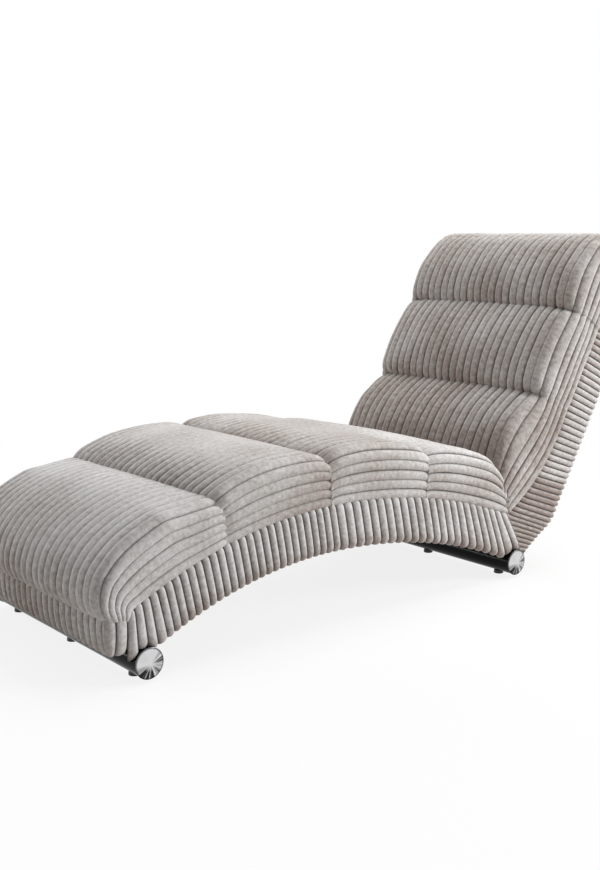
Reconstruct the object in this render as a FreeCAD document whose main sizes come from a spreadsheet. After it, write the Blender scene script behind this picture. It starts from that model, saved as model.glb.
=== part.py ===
import FreeCAD, Part
import math
import os
import Sketcher

V = FreeCAD.Vector

# Driving dimensions in millimetres and degrees. X runs across, Y from foot to head, Z up.
DIMENSIONS = (
    ("body_width", 600, "pads, side to side"),
    ("border_width", 590, "side borders, face to face"),
    ("frame_width", 550, "side frames, face to face"),
    ("panel_thickness", 22, "plywood of a side frame"),
    ("crest_y", -270, "highest point of the seat line"),
    ("crest_z", 281, "its height"),
    ("fore_radius", 1086, "seat line from foot to crest"),
    ("aft_radius", 1490, "seat line from crest to crease"),
    ("seat_depth", 105, "border below the seat line"),
    ("foot_y", -788, "front face of the frame"),
    ("crease_y", 287, "where seat and back meet"),
    ("crease_lean", 90, "slope of the crease"),
    ("bend_radius", 460, "lower back line"),
    ("bend_start", 28, "its slope at the crease"),
    ("back_lean", 60, "slope of the upper back"),
    ("back_rise", 490, "straight length of the back line"),
    ("back_depth", 118, "border behind the back line"),
    ("corner_radius", 25, "frame corners below the foot pad and the head pad"),
    ("sole_z", 46, "lowest edge of the borders"),
    ("heel_y", 347, "rear end of that edge"),
    ("heel_reach", 84, "slope behind the heel, front to rear"),
    ("heel_rise", 46.2, "the same slope, upwards"),
    ("knee_reach", 40, "end of the knee's round above its lower edge"),
    ("knee_radius", 100, "round from the heel into the outer back"),
    ("knee_z", 113, "where the heel turns into the outer back"),
    ("fit_gap", 0.3, "clearance of a neighbour"),
    ("border_round", 14, "upright edges of the front band"),
    ("frame_top", 3.2, "frame edge below the seat line"),
    ("frame_inset", 10, "frame edge inside the border"),
    ("frame_sole_z", 70, "underside of the frame over the tubes"),
    ("housing_depth", 6, "rail end let into the side frame"),
    ("rail_thickness", 22, "cross rails"),
    ("rail_height", 60, "cross rails"),
    ("calf_rail_y", -498, "middle of the rail"),
    ("thigh_rail_y", 2, "middle of the rail"),
    ("seat_rail_depth", 50, "rail middles below the seat line"),
    ("back_rail_depth", 56, "rail middles behind the back line"),
    ("lumbar_rail", 20, "along the straight back line"),
    ("shoulder_rail", 260, "along the straight back line"),
    ("head_rail", 462, "along the straight back line"),
    ("base_rail_width", 52, "rails over the tubes"),
    ("base_rail_height", 42, "rails over the tubes"),
    ("base_rail_top", 102, "rails over the tubes"),
    ("foot_rail_thickness", 15.7, "board across the front of the frame"),
    ("foot_rail_height", 64, "the same board"),
    ("band_thickness", 16, "upholstered band in front of it"),
    ("band_top", 134, "upper edge of that band"),
    ("tube_diameter", 60, "foot tubes"),
    ("tube_wall", 2, "foot tubes"),
    ("tube_length", 600, "foot tubes without their caps"),
    ("tube_z", 38.5, "axis of a foot tube"),
    ("front_tube_y", -743, "front foot tube"),
    ("rear_tube_y", 319, "rear foot tube"),
    ("cap_diameter", 63, "end caps"),
    ("cap_rim", 5, "cap outside the tube"),
    ("cap_dish", 2.5, "hollow of the cap's face"),
    ("cap_lip", 4, "raised edge round the hollow"),
    ("cap_bevel", 2, "outer edge of the cap"),
    ("cap_plug", 18, "cap inside the tube"),
    ("glide_spacing", 245, "glides, and the bolts above them, from the middle outwards"),
    ("glide_diameter", 24, "glides"),
    ("glide_hole", 16, "hole of a glide in the tube"),
    ("bolt_hole", 9, "bolt hole in the tube"),
    ("bolt_diameter", 8, "foot bolts"),
    ("bolt_head", 13, "foot bolts, across flats"),
    ("bolt_head_height", 5.3, "foot bolts"),
    ("bolt_length", 33, "foot bolts below the head"),
    ("bolt_head_gap", 1.2, "head below the top of the tube's bore"),
    ("cover_thickness", 1.5, "cloth under the arch"),
    ("strap_width", 68, "elastic webbing"),
    ("strap_thickness", 1.6, "elastic webbing"),
    ("foam_width", 524, "foam slabs"),
    ("foam_height", 45, "foam slabs above the seat line"),
    ("valley", 91, "pad height at a seat seam"),
    ("crown", 116, "pad height between two seat seams"),
    ("crease_height", 58, "pad height at the crease"),
    ("back_valley", 114, "pad height at a back seam"),
    ("back_crown", 138, "pad height between two back seams"),
    ("foot_seam", -290, "along the seat line from the crest"),
    ("knee_seam", -21, "along the seat line from the crest"),
    ("thigh_seam", 260, "along the seat line from the crest"),
    ("waist_seam", 48, "along the straight back line"),
    ("neck_seam", 282, "along the straight back line"),
    ("pad_draw", 8, "sides of a pad drawn in where it is thin"),
    ("pad_drop", 7, "crown of a pad, side to side"),
    ("pad_gap", 0.8, "underside of a pad above the frame"),
    ("pad_tuck", 3, "foot of a pad inside its widest line"),
    ("shoulder_radius", 52, "round from the side of a pad to its top"),
)

doc = FreeCAD.newDocument("chaise")
sheet = doc.addObject("Spreadsheet::Sheet", "dims")
for row, (alias, value, meaning) in enumerate(DIMENSIONS, 1):
    sheet.set("A%d" % row, meaning)
    sheet.set("B%d" % row, str(value))
    sheet.setAlias("B%d" % row, alias)
doc.recompute()

nodes = []


class Cells(dict):
    """Turns {name} in a formula into that cell of the sheet."""

    def __missing__(self, name):
        return "dims." + name


def formula(text):
    return text.format_map(Cells())


def size(text):
    """Value of a formula in millimetres."""
    return float(sheet.evalExpression(formula(text)))


def bind(item, **formulas):
    """Binds properties of an object to formulas; two underscores stand for a dot."""
    for name, text in formulas.items():
        item.setExpression(name.replace("__", "."), formula(text))


def new_body(label):
    body = doc.addObject("PartDesign::Body", label)
    body.Label = label
    return body


def keep(item, label):
    """Names an object and puts it on the list of pieces to be written."""
    item.Label = label
    nodes.append(item)
    return item


def sketch_on(body, role, name):
    plane = next(item for item in body.Origin.OriginFeatures if item.Role == role)
    sketch = body.newObject("Sketcher::SketchObject", name)
    sketch.AttachmentSupport = [(plane, "")]
    sketch.MapMode = "FlatFace"
    return sketch


def measure(sketch, kind, references, text):
    """Adds a dimension to a sketch and binds it to a formula."""
    index = sketch.addConstraint(Sketcher.Constraint(kind, *references, size(text)))
    sketch.setExpression("Constraints[%d]" % index, formula(text))


def fix_point(sketch, geometry, end, place):
    """Ties a point to formulas for both its coordinates; a plain 0 puts it on the axis."""
    for kind, axis, text in zip(("DistanceX", "DistanceY"), (-2, -1), place):
        if text == "0":
            sketch.addConstraint(Sketcher.Constraint("PointOnObject", geometry, end, axis))
        else:
            measure(sketch, kind, (-1, 1, geometry, end), text)


def arc_middle(start, end, radius, side):
    """Middle of the arc from start to end that bulges to the given side of its chord."""
    chord = end - start
    half = chord.Length / 2
    rise = radius - math.sqrt(radius * radius - half * half)
    return (start + end) * 0.5 + V(chord.y, -chord.x, 0).normalize() * rise * side


def outline(sketch, corners, bends=None):
    """Closes an outline through corners given as formulas; bends holds (radius, side) by edge."""
    bends = bends or {}
    spots = [V(size(across), size(up), 0) for across, up in corners]
    first = sketch.GeometryCount
    count = len(spots)
    ends = []
    for index, start in enumerate(spots):
        end = spots[(index + 1) % count]
        if index in bends:
            text, side = bends[index]
            middle = arc_middle(start, end, size(text), side)
            turned = side < 0
            tips = (end, start) if turned else (start, end)
            sketch.addGeometry(Part.Arc(tips[0], middle, tips[1]))
            ends.append((2, 1) if turned else (1, 2))
        else:
            sketch.addGeometry(Part.LineSegment(start, end))
            ends.append((1, 2))
    for index, corner in enumerate(corners):
        following = (index + 1) % count
        sketch.addConstraint(Sketcher.Constraint(
            "Coincident", first + index, ends[index][1], first + following, ends[following][0]))
        fix_point(sketch, first + index, ends[index][0], corner)
    for index, (text, side) in bends.items():
        measure(sketch, "Radius", (first + index,), text)


def circle(sketch, across, up, radius):
    """Adds a circle whose centre and radius are formulas."""
    index = sketch.addGeometry(Part.Circle(V(size(across), size(up), 0), V(0, 0, 1), size(radius)))
    fix_point(sketch, index, 3, (across, up))
    measure(sketch, "Radius", (index,), radius)


def pad(body, sketch, length, both=False, back=False):
    feature = body.newObject("PartDesign::Pad", sketch.Name + "_pad")
    feature.Profile = sketch
    feature.SideType = "Symmetric" if both else "One side"
    feature.Reversed = back
    bind(feature, Length=length)
    doc.recompute()
    return feature


def pocket(body, sketch, length=None, both=False, back=False):
    """Cuts a sketch out of a body, through all of it if no length is given."""
    feature = body.newObject("PartDesign::Pocket", sketch.Name + "_pocket")
    feature.Profile = sketch
    feature.SideType = "Symmetric" if both else "One side"
    feature.Reversed = back
    if length is None:
        feature.Type = "ThroughAll"
    else:
        bind(feature, Length=length)
    doc.recompute()
    return feature


def revolve(body, sketch, role):
    feature = body.newObject("PartDesign::Revolution", sketch.Name + "_turn")
    axis = next(item for item in body.Origin.OriginFeatures if item.Role == role)
    feature.Profile = sketch
    feature.ReferenceAxis = (axis, [""])
    feature.Angle = 360
    doc.recompute()
    return feature


def group(label, shapes):
    """One piece made of several separate solids."""
    item = doc.addObject("Part::Feature", label)
    item.Shape = Part.makeCompound(shapes)
    return keep(item, label)


def copies(source, spots):
    """Copies of a body's shape, moved to each spot."""
    shapes = []
    for spot in spots:
        shape = source.Shape.copy()
        shape.translate(V(*spot))
        shapes.append(shape)
    return shapes


# Feet: two tubes across the body, each with two caps, three glides and two bolts.
TUBES = (("front", "{front_tube_y}"), ("rear", "{rear_tube_y}"))


def foot_tube(label, tube_y):
    body = new_body(label)
    section = sketch_on(body, "YZ_Plane", label + "_section")
    circle(section, "0", "0", "{tube_diameter} / 2")
    circle(section, "0", "0", "{tube_diameter} / 2 - {tube_wall}")
    pad(body, section, "{tube_length}", both=True)
    below = sketch_on(body, "XY_Plane", label + "_glide_holes")
    circle(below, "0", "0", "{glide_hole} / 2")
    for side in ("", "-"):
        circle(below, side + "{glide_spacing}", "0", "{glide_hole} / 2")
    pocket(body, below)
    above = sketch_on(body, "XY_Plane", label + "_bolt_holes")
    for side in ("", "-"):
        circle(above, side + "{glide_spacing}", "0", "{bolt_hole} / 2")
    pocket(body, above, back=True)
    bind(body, Placement__Base__y=tube_y, Placement__Base__z="{tube_z}")
    return keep(body, label)


def cap_body():
    """Cap at the left end of a tube: a dished face, a rim and a plug, turned about the tube's axis."""
    body = new_body("cap")
    half = sketch_on(body, "XY_Plane", "cap_half")
    end = "{tube_length} / 2"
    plug = "{tube_diameter} / 2 - {tube_wall} - {fit_gap}"
    outline(half, (
        (end + " + {cap_rim} - {cap_dish}", "0"),
        (end + " + {cap_rim} - {cap_dish}", "{cap_diameter} / 2 - {cap_bevel} - {cap_lip}"),
        (end + " + {cap_rim}", "{cap_diameter} / 2 - {cap_bevel}"),
        (end + " + {cap_rim} - {cap_bevel}", "{cap_diameter} / 2"),
        (end + " + {fit_gap}", "{cap_diameter} / 2"),
        (end + " + {fit_gap}", plug),
        (end + " - {cap_plug}", plug),
        (end + " - {cap_plug}", "0")))
    revolve(body, half, "X_Axis")
    return body


def glide_body():
    """Plastic glide under a tube: a foot that follows the tube, and a plug through its wall."""
    body = new_body("glide")
    foot = sketch_on(body, "XY_Plane", "glide_foot")
    circle(foot, "0", "0", "{glide_diameter} / 2")
    pad(body, foot, "{tube_z} - {tube_diameter} / 2 + 3")
    bed = sketch_on(body, "YZ_Plane", "glide_bed")
    circle(bed, "0", "{tube_z}", "{tube_diameter} / 2 + 0.1")
    pocket(body, bed, both=True)
    plug = sketch_on(body, "XY_Plane", "glide_plug")
    circle(plug, "0", "0", "{glide_hole} / 2 - {fit_gap}")
    pad(body, plug, "{tube_z} - {tube_diameter} / 2 + {tube_wall} + 5")
    return body


def bolt_body():
    """Foot bolt: a hexagon head inside the tube and a shank up into the rail on it."""
    body = new_body("bolt")
    head = sketch_on(body, "XY_Plane", "bolt_hexagon")
    reach, rise = "{bolt_head} / sqrt(3)", "{bolt_head} / 2"
    outline(head, (
        (reach, "0"), (reach + " / 2", rise), ("-" + reach + " / 2", rise),
        ("-" + reach, "0"), ("-" + reach + " / 2", "-" + rise), (reach + " / 2", "-" + rise)))
    pad(body, head, "{bolt_head_height}")
    shank = sketch_on(body, "XY_Plane", "bolt_shank")
    circle(shank, "0", "0", "{bolt_diameter} / 2")
    pad(body, shank, "{bolt_head_height} + {bolt_length}")
    return body


def build_feet():
    cap, glide, bolt = cap_body(), glide_body(), bolt_body()
    spread = size("{glide_spacing}")
    bolt_z = size("{tube_z} + {tube_diameter} / 2 - {tube_wall} - {bolt_head_gap} - {bolt_head_height}")
    bolt_spots = []
    for end, tube_y in TUBES:
        foot_tube(end + "_foot_tube", tube_y)
        place = size(tube_y)
        left = copies(cap, [(0, place, size("{tube_z}"))])
        right = [shape.mirror(V(0, 0, 0), V(1, 0, 0)) for shape in left]
        group(end + "_end_caps", left + right)
        group(end + "_glides", copies(glide, [(step * spread, place, 0) for step in (-1, 0, 1)]))
        bolt_spots += [(side * spread, place, bolt_z) for side in (-1, 1)]
    group("foot_bolts", copies(bolt, bolt_spots))


# Formulas of the side view. A depth is measured from the seat line or back line into the frame.
def arch_z(radius, depth, along):
    """Height of the arch at a depth below the seat line."""
    arc = "{%s}" % radius
    return "{crest_z} - %s + sqrt((%s - %s)^2 - ((%s) - {crest_y})^2)" % (arc, arc, depth, along)


def fore_z(depth, along):
    return arch_z("fore_radius", depth, along)


def aft_z(depth, along):
    return arch_z("aft_radius", depth, along)


def arch_reach(radius, depth, level):
    """Distance from the crest at which the arch at a depth comes down to a level."""
    arc = "({%s} - %s)" % (radius, depth)
    return "sqrt(%s^2 - (%s - ({crest_z} - %s - %s))^2)" % (arc, arc, depth, level)


def back_point(along, depth):
    """Point beside the straight back line, from the line's lower end."""
    crease = aft_z("0", "{crease_y}")
    turn, lean = "({bend_start} * 1 deg)", "({back_lean} * 1 deg)"
    arc = "({bend_radius} + %s)" % depth
    y = "{crease_y} - {bend_radius} * sin(%s) + %s * sin(%s)" % (turn, arc, lean)
    z = "%s + {bend_radius} * cos(%s) - %s * cos(%s)" % (crease, turn, arc, lean)
    y += " + (%s) * cos(%s)" % (along, lean)
    z += " + (%s) * sin(%s)" % (along, lean)
    return y, z


def outer_back_y(depth, level):
    """Where the outer back at a depth reaches a level."""
    y, z = back_point("0", depth)
    return "%s + (%s - (%s)) / tan({back_lean} * 1 deg)" % (y, level, z)


def turned_box(centre, thickness, height, angle):
    """Corners of a rectangle turned about its centre."""
    y, z = centre
    corners = []
    for across, up in ((-1, -1), (1, -1), (1, 1), (-1, 1)):
        right, rise = "%d * %s / 2" % (across, thickness), "%d * %s / 2" % (up, height)
        corners.append(("%s + %s * cos(%s) - (%s) * sin(%s)" % (y, right, angle, rise, angle),
                        "%s + %s * sin(%s) + %s * cos(%s)" % (z, right, angle, rise, angle)))
    return corners


# Cross rails let into both side frames: centre, thickness, height and slope in the side view.
BACK_SLOPE = "({back_lean} * 1 deg)"
BOARD = ("{rail_thickness}", "{rail_height}")
BASE = ("{base_rail_width}", "{base_rail_height}")
LEVEL = "(0 * 1 deg)"
RAILS = {
    "front_base_rail": (("{front_tube_y}", "{base_rail_top} - {base_rail_height} / 2"), BASE, LEVEL),
    "calf_cross_rail": (("{calf_rail_y}", fore_z("{seat_rail_depth}", "{calf_rail_y}")), BOARD, LEVEL),
    "thigh_cross_rail": (("{thigh_rail_y}", aft_z("{seat_rail_depth}", "{thigh_rail_y}")), BOARD, LEVEL),
    "rear_base_rail": (("{rear_tube_y}", "{base_rail_top} - {base_rail_height} / 2"), BASE, LEVEL),
    "lumbar_cross_rail": (back_point("{lumbar_rail}", "{back_rail_depth}"), BOARD, BACK_SLOPE),
    "shoulder_cross_rail": (back_point("{shoulder_rail}", "{back_rail_depth}"), BOARD, BACK_SLOPE),
    "head_cross_rail": (back_point("{head_rail}", "{back_rail_depth}"), BOARD, BACK_SLOPE),
}


def side_frame(label, side):
    """S-shaped plywood panel with a housing for the end of every cross rail."""
    body = new_body(label)
    panel = sketch_on(body, "YZ_Plane", label + "_outline")
    front = "{foot_y} + {foot_rail_thickness} + {fit_gap}"
    lower = "({seat_depth} - {frame_inset})"
    outer = "({back_depth} - {frame_inset})"
    outline(panel, (
        (front, "{frame_sole_z}"),
        (front, fore_z("{frame_top}", front)),
        ("{crest_y}", "{crest_z} - {frame_top}"),
        ("{crease_y}", aft_z("{frame_top}", "{crease_y}")),
        back_point("0", "{frame_top}"),
        back_point("{back_rise} - 14", "{frame_top}"),
        back_point("{back_rise} - 14", outer),
        (outer_back_y(outer, "({knee_z} + {knee_reach})"), "{knee_z} + {knee_reach}"),
        ("{heel_y} + 18", "{frame_sole_z}"),
        ("{crest_y} + " + arch_reach("aft_radius", lower, "{frame_sole_z}"), "{frame_sole_z}"),
        ("{crest_y}", "{crest_z} - " + lower),
        ("{crest_y} - " + arch_reach("fore_radius", lower, "{frame_sole_z}"), "{frame_sole_z}"),
    ), {
        1: ("{fore_radius} - {frame_top}", -1),
        2: ("{aft_radius} - {frame_top}", -1),
        3: ("{bend_radius} + {frame_top}", 1),
        9: ("{aft_radius} - " + lower, 1),
        10: ("{fore_radius} - " + lower, 1),
    })
    pad(body, panel, "{panel_thickness}", back=side < 0)
    housings = sketch_on(body, "YZ_Plane", label + "_housings")
    for centre, (thickness, height), angle in RAILS.values():
        outline(housings, turned_box(centre, "(%s + 0.4)" % thickness, "(%s + 0.4)" % height, angle))
    pocket(body, housings, "{housing_depth}", back=side > 0)
    bind(body, Placement__Base__x="%d * ({frame_width} / 2 - {panel_thickness})" % side)
    return keep(body, label)


def cross_rail(label, centre, section, angle):
    """Board between the side frames; one over a tube has a groove that the tube sits in."""
    body = new_body(label)
    end = sketch_on(body, "YZ_Plane", label + "_section")
    outline(end, turned_box(centre, section[0], section[1], angle))
    pad(body, end, "{frame_width} - 2 * ({panel_thickness} - {housing_depth} + {fit_gap})", both=True)
    if section is BASE:
        groove = sketch_on(body, "YZ_Plane", label + "_groove")
        circle(groove, centre[0], "{tube_z}", "{tube_diameter} / 2 + {fit_gap}")
        pocket(body, groove, both=True)
        holes = sketch_on(body, "XY_Plane", label + "_bolt_holes")
        for side in ("", "-"):
            circle(holes, side + "{glide_spacing}", centre[0], "{bolt_hole} / 2")
        pocket(body, holes, back=True)
    return keep(body, label)


def foot_rail():
    """Board across the front ends of both side frames."""
    body = new_body("foot_cross_rail")
    end = sketch_on(body, "YZ_Plane", "foot_rail_section")
    rear = "{foot_y} + {foot_rail_thickness}"
    low, high = "{frame_sole_z}", "{frame_sole_z} + {foot_rail_height}"
    outline(end, (("{foot_y}", low), (rear, low), (rear, high), ("{foot_y}", high)))
    pad(body, end, "{frame_width}", both=True)
    return keep(body, "foot_cross_rail")


def corner_blocks():
    """Triangular blocks that stiffen the base rails against the side frames."""
    body = new_body("block")
    flat = sketch_on(body, "XY_Plane", "block_flat")
    outline(flat, (("0", "-25"), ("0", "25"), ("-40", "-25")))
    pad(body, flat, "{rail_thickness}")
    inner = size("{frame_width} / 2 - {panel_thickness} - {fit_gap}")
    level = size("{base_rail_top} + {fit_gap}")
    shapes = []
    for end, tube_y in TUBES:
        for side in (-1, 1):
            shape = body.Shape.copy()
            if side < 0:
                shape = shape.mirror(V(0, 0, 0), V(1, 0, 0))
            shape.translate(V(side * inner, size(tube_y), level))
            shapes.append(shape)
    group("corner_blocks", shapes)


def build_frame():
    side_frame("left_side_frame", 1)
    side_frame("right_side_frame", -1)
    foot_rail()
    for label, (centre, section, angle) in RAILS.items():
        cross_rail(label, centre, section, angle)
    corner_blocks()


class Contour:
    """Line on which the pads lie, in the side view, by distance from the seat's crest.

    It starts on the front face of the frame, goes over its corner, along the seat, up the back,
    and over the top to the outer back. Every place on it has a point and an outward angle.
    """

    def __init__(self):
        self.crest = V(0, size("{crest_y}"), size("{crest_z}"))
        self.fore, self.aft = size("{fore_radius}"), size("{aft_radius}")
        self.corner = size("{corner_radius}")
        self.lean = math.radians(size("{back_lean}"))
        self.bend = size("{bend_radius}")
        self.bend_from = math.radians(size("{bend_start}"))
        self.fore_hub = self.crest - V(0, 0, self.fore)
        self.aft_hub = self.crest - V(0, 0, self.aft)
        nose_y = size("{foot_y}") + self.corner
        reach = self.crest.y - nose_y
        self.nose_angle = math.asin(reach / (self.fore - self.corner))
        self.nose_hub = self.fore_hub + self.out(math.pi / 2 + self.nose_angle) * (self.fore - self.corner)
        self.start = -self.nose_angle * self.fore
        self.front = self.start - self.corner * (math.pi / 2 - self.nose_angle)
        self.crease_angle = math.asin((size("{crease_y}") - self.crest.y) / self.aft)
        self.crease = self.crease_angle * self.aft
        crease_point = self.aft_hub + self.out(math.pi / 2 - self.crease_angle) * self.aft
        self.bend_hub = crease_point + self.out(self.bend_from + math.pi / 2) * self.bend
        self.straight = self.crease + self.bend * (self.lean - self.bend_from)
        self.top = self.straight + size("{back_rise}")
        self.quarter = self.corner * math.pi / 2
        self.flat = size("{back_depth}") - 2 * self.corner
        self.rear = self.top + 2 * self.quarter + self.flat

    @staticmethod
    def out(angle):
        return V(0, math.cos(angle), math.sin(angle))

    def place(self, along):
        """Point on the line and its outward angle."""
        up = math.pi / 2
        if along < self.start:
            angle = up + self.nose_angle + (self.start - along) / self.corner
            return self.nose_hub + self.out(angle) * self.corner, angle
        if along < 0:
            angle = up - along / self.fore
            return self.fore_hub + self.out(angle) * self.fore, angle
        if along <= self.crease:
            angle = up - along / self.aft
            return self.aft_hub + self.out(angle) * self.aft, angle
        if along < self.straight:
            angle = self.bend_from + (along - self.crease) / self.bend + up
            return self.bend_hub - self.out(angle) * self.bend, angle
        rise = min(along, self.top) - self.straight
        angle = self.lean + up
        spot = self.bend_hub - self.out(angle) * self.bend + self.out(self.lean) * rise
        over = along - self.top
        if over <= 0:
            return spot, angle
        hub = spot - self.out(angle) * self.corner
        if over < self.quarter:
            angle -= over / self.corner
            return hub + self.out(angle) * self.corner, angle
        flat = min(over - self.quarter, self.flat)
        hub += self.out(self.lean - up) * flat
        angle = self.lean - max(0.0, over - self.quarter - self.flat) / self.corner
        return hub + self.out(angle) * self.corner, angle

    def edges(self, start, stop, height):
        """Edges along the line between two places, at a height above it."""
        joints = [mark for mark in (0.0, self.straight) if start < mark < stop]
        marks = [start] + joints + [stop]
        edges = []
        for low, high in zip(marks, marks[1:]):
            spots = []
            for along in (low, (low + high) / 2, high):
                spot, angle = self.place(along)
                spots.append(spot + self.out(angle) * height)
            first, second = (spots[1] - spots[0]).normalize(), (spots[2] - spots[1]).normalize()
            bent = first.cross(second).Length > 1e-6
            edges.append(Part.Arc(*spots).toShape() if bent else Part.makeLine(spots[0], spots[2]))
        return edges

    def strip(self, start, stop, low, high, width):
        """Slab along the line, between two heights above it, centred across the body."""
        below, above = self.edges(start, stop, low), self.edges(start, stop, high)
        ends = [Part.makeLine(below[-1].Vertexes[-1].Point, above[-1].Vertexes[-1].Point),
                Part.makeLine(below[0].Vertexes[0].Point, above[0].Vertexes[0].Point)]
        face = Part.Face(Part.Wire(Part.sortEdges(below + above + ends)[0]))
        slab = face.extrude(V(width, 0, 0))
        slab.translate(V(-width / 2, 0, 0))
        return slab


# Clearance of a pad from the middle of its seam.
SEAM_GAP = 0.4


def crease_box(contour, side, gap):
    """Large block on one side of the crease, with its face a gap away from it."""
    reach = 900
    block = Part.makeBox(2 * reach, reach, 2 * reach, V(-reach, 0, -reach))
    if side < 0:
        block.translate(V(0, -reach, 0))
    block.translate(V(0, side * gap, 0))
    block.rotate(V(0, 0, 0), V(1, 0, 0), size("{crease_lean}") - 90)
    block.translate(contour.place(contour.crease)[0])
    return block


def build_suspension(contour):
    """Elastic webbing across the side frames and the foam slabs that lie on it."""
    top = -size("{frame_top} - 0.2")
    thick, width = size("{strap_thickness}"), size("{strap_width}")
    span = size("{frame_width} - 12")

    def straps(start, stop, count):
        step = (stop - start) / (count - 1)
        return [contour.strip(start + step * index - width / 2, start + step * index + width / 2,
                              top, top + thick, span) for index in range(count)]

    group("seat_webbing", straps(contour.start + 60, contour.crease - 60, 9))
    group("back_webbing", straps(contour.crease + 70, contour.top - 60, 7))
    base, height, foam = -1.2, size("{foam_height}"), size("{foam_width}")
    gap = size("{fit_gap}")
    seat = contour.strip(contour.start + 6, contour.crease, base, height, foam)
    back = contour.strip(contour.crease + 1e-6, contour.top - 6, base, height, foam)
    slabs = []
    for label, slab, side in (("seat_foam", seat, 1), ("back_foam", back, -1)):
        item = doc.addObject("Part::Feature", label)
        item.Shape = slab.cut(crease_box(contour, side, -gap))
        slabs.append(keep(item, label))
    return slabs


# Round of a pad's shoulder, in degrees, from its side to its top.
SHOULDER_TURNS = range(0, 91, 18)


def pad_section(contour, along, lean, height):
    """Closed section of a pad, square to the side view: flat below, round shoulders, crowned top."""
    spot, angle = contour.place(along)
    up = contour.out(angle + math.radians(lean))
    full = min(1.0, height / size("{crown}"))
    half = size("{body_width} / 2") - size("{pad_draw}") * (1 - full)
    drop = size("{pad_drop}") * full
    round_off = min(size("{shoulder_radius}"), 0.62 * (height - drop))
    wall = height - drop - round_off
    base, foot = size("{pad_gap}"), half - size("{pad_tuck}")

    def at(across, rise):
        return spot + up * rise + V(across, 0, 0)

    def flank(side):
        """Points from the underside up to where the crown starts."""
        points = [at(side * foot, base)]
        for turn in map(math.radians, SHOULDER_TURNS):
            across = half - round_off * (1 - math.cos(turn))
            points.append(at(side * across, wall + round_off * math.sin(turn)))
        return points

    right, left = flank(1), flank(-1)
    crown = Part.Arc(right[-1], at(0, height), left[-1]).toShape()
    sides = [Part.makeLine(*ends) for ends in zip(right, right[1:])]
    sides += [Part.makeLine(*ends) for ends in zip(left, left[1:])]
    return Part.Wire(Part.sortEdges(sides + [crown, Part.makeLine(left[0], right[0])])[0])


def channel(start, stop, low, high):
    """Stations of a plain channel between two seams: distance, lean, height."""
    start, stop = start + SEAM_GAP, stop - SEAM_GAP
    count = 6
    turns = [math.pi * step / count for step in range(count + 1)]
    return [(start + (stop - start) * (1 - math.cos(turn)) / 2, 0, low + (high - low) * math.sin(turn))
            for turn in turns]


def between(before, low, high, after, part):
    """Value on a smooth curve between low and high, with the values on either side of them."""
    return low + 0.5 * part * (high - before + part * (
        2 * before - 5 * low + 4 * high - after + part * (3 * (low - high) + after - before)))


def eased(rows):
    """Fills in stations between the given ones, on a smooth curve."""
    first = tuple(2 * near - far for near, far in zip(rows[0], rows[1]))
    last = tuple(2 * near - far for near, far in zip(rows[-1], rows[-2]))
    padded = [first, *rows, last]
    stations = []
    for four in zip(padded, padded[1:], padded[2:], padded[3:]):
        for part in (0, 0.5):
            stations.append(tuple(between(*values, part) for values in zip(*four)))
    return stations + [rows[-1]]


def build_pads(contour, slabs):
    """Seven channels of the quilted top, each a loft over the foam slabs."""
    crown, valley = size("{crown}"), size("{valley}")
    back_crown, back_valley = size("{back_crown}"), size("{back_valley}")
    foot_seam, knee_seam, thigh_seam = (size("{%s_seam}" % name) for name in ("foot", "knee", "thigh"))
    waist = contour.straight + size("{waist_seam}")
    neck = contour.straight + size("{neck_seam}")
    crease, fold = contour.crease, size("{crease_height}")
    seat_tilt = size("{crease_lean}") - 90 + math.degrees(contour.crease_angle)
    back_tilt = size("{crease_lean}") - 90 - size("{bend_start}")
    start, top = contour.start, contour.top
    nose, quarter, flat = contour.front - start, contour.quarter, contour.flat
    stations = {
        "foot_pad": eased((
            (start + nose, -10, 19), (start + 0.64 * nose, 0, 62), (start + 0.36 * nose, 0, 76),
            (start, 0, 90), (start + 60, 0, 104), (start + 135, 0, crown),
            (foot_seam - 30, 0, 0.55 * crown + 0.45 * valley), (foot_seam - SEAM_GAP, 0, valley))),
        "calf_pad": channel(foot_seam, knee_seam, valley, crown),
        "thigh_pad": channel(knee_seam, thigh_seam, valley, crown),
        "seat_pad": eased((
            (thigh_seam + SEAM_GAP, 0, valley), (thigh_seam + 30, 0, 0.4 * valley + 0.6 * crown),
            (thigh_seam + 110, 0, crown), (crease - 110, 0.2 * seat_tilt, crown),
            (crease - 40, 0.65 * seat_tilt, 94), (crease - SEAM_GAP, seat_tilt, fold))),
        "lumbar_pad": eased((
            (crease + SEAM_GAP, back_tilt, fold), (crease + 50, 0.7 * back_tilt, 120),
            (crease + 115, 0.33 * back_tilt, 157), (waist - 100, 0, 156),
            (waist - 35, 0, 138), (waist - SEAM_GAP, 0, back_valley))),
        "shoulder_pad": channel(waist, neck, back_valley, back_crown),
        "head_pad": eased((
            (neck + SEAM_GAP, 0, back_valley), (neck + 26, 0, 0.4 * back_valley + 0.6 * back_crown),
            (neck + 100, 0, back_crown), (top - 34, 0, 130), (top, 0, 110), (top + 0.3 * quarter, 0, 67),
            (top + 0.62 * quarter, 0, 46), (top + quarter, 0, 38), (top + quarter + flat, 0, 37),
            (top + 1.5 * quarter + flat, 0, 27), (contour.rear, 0, 11))),
    }
    room = Part.makeCompound([slab.Shape for slab in slabs])
    for label, rows in stations.items():
        loft = Part.makeLoft([pad_section(contour, *row) for row in rows], True, True)
        item = doc.addObject("Part::Feature", label)
        item.Shape = loft.cut(room)
        keep(item, label)


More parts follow.
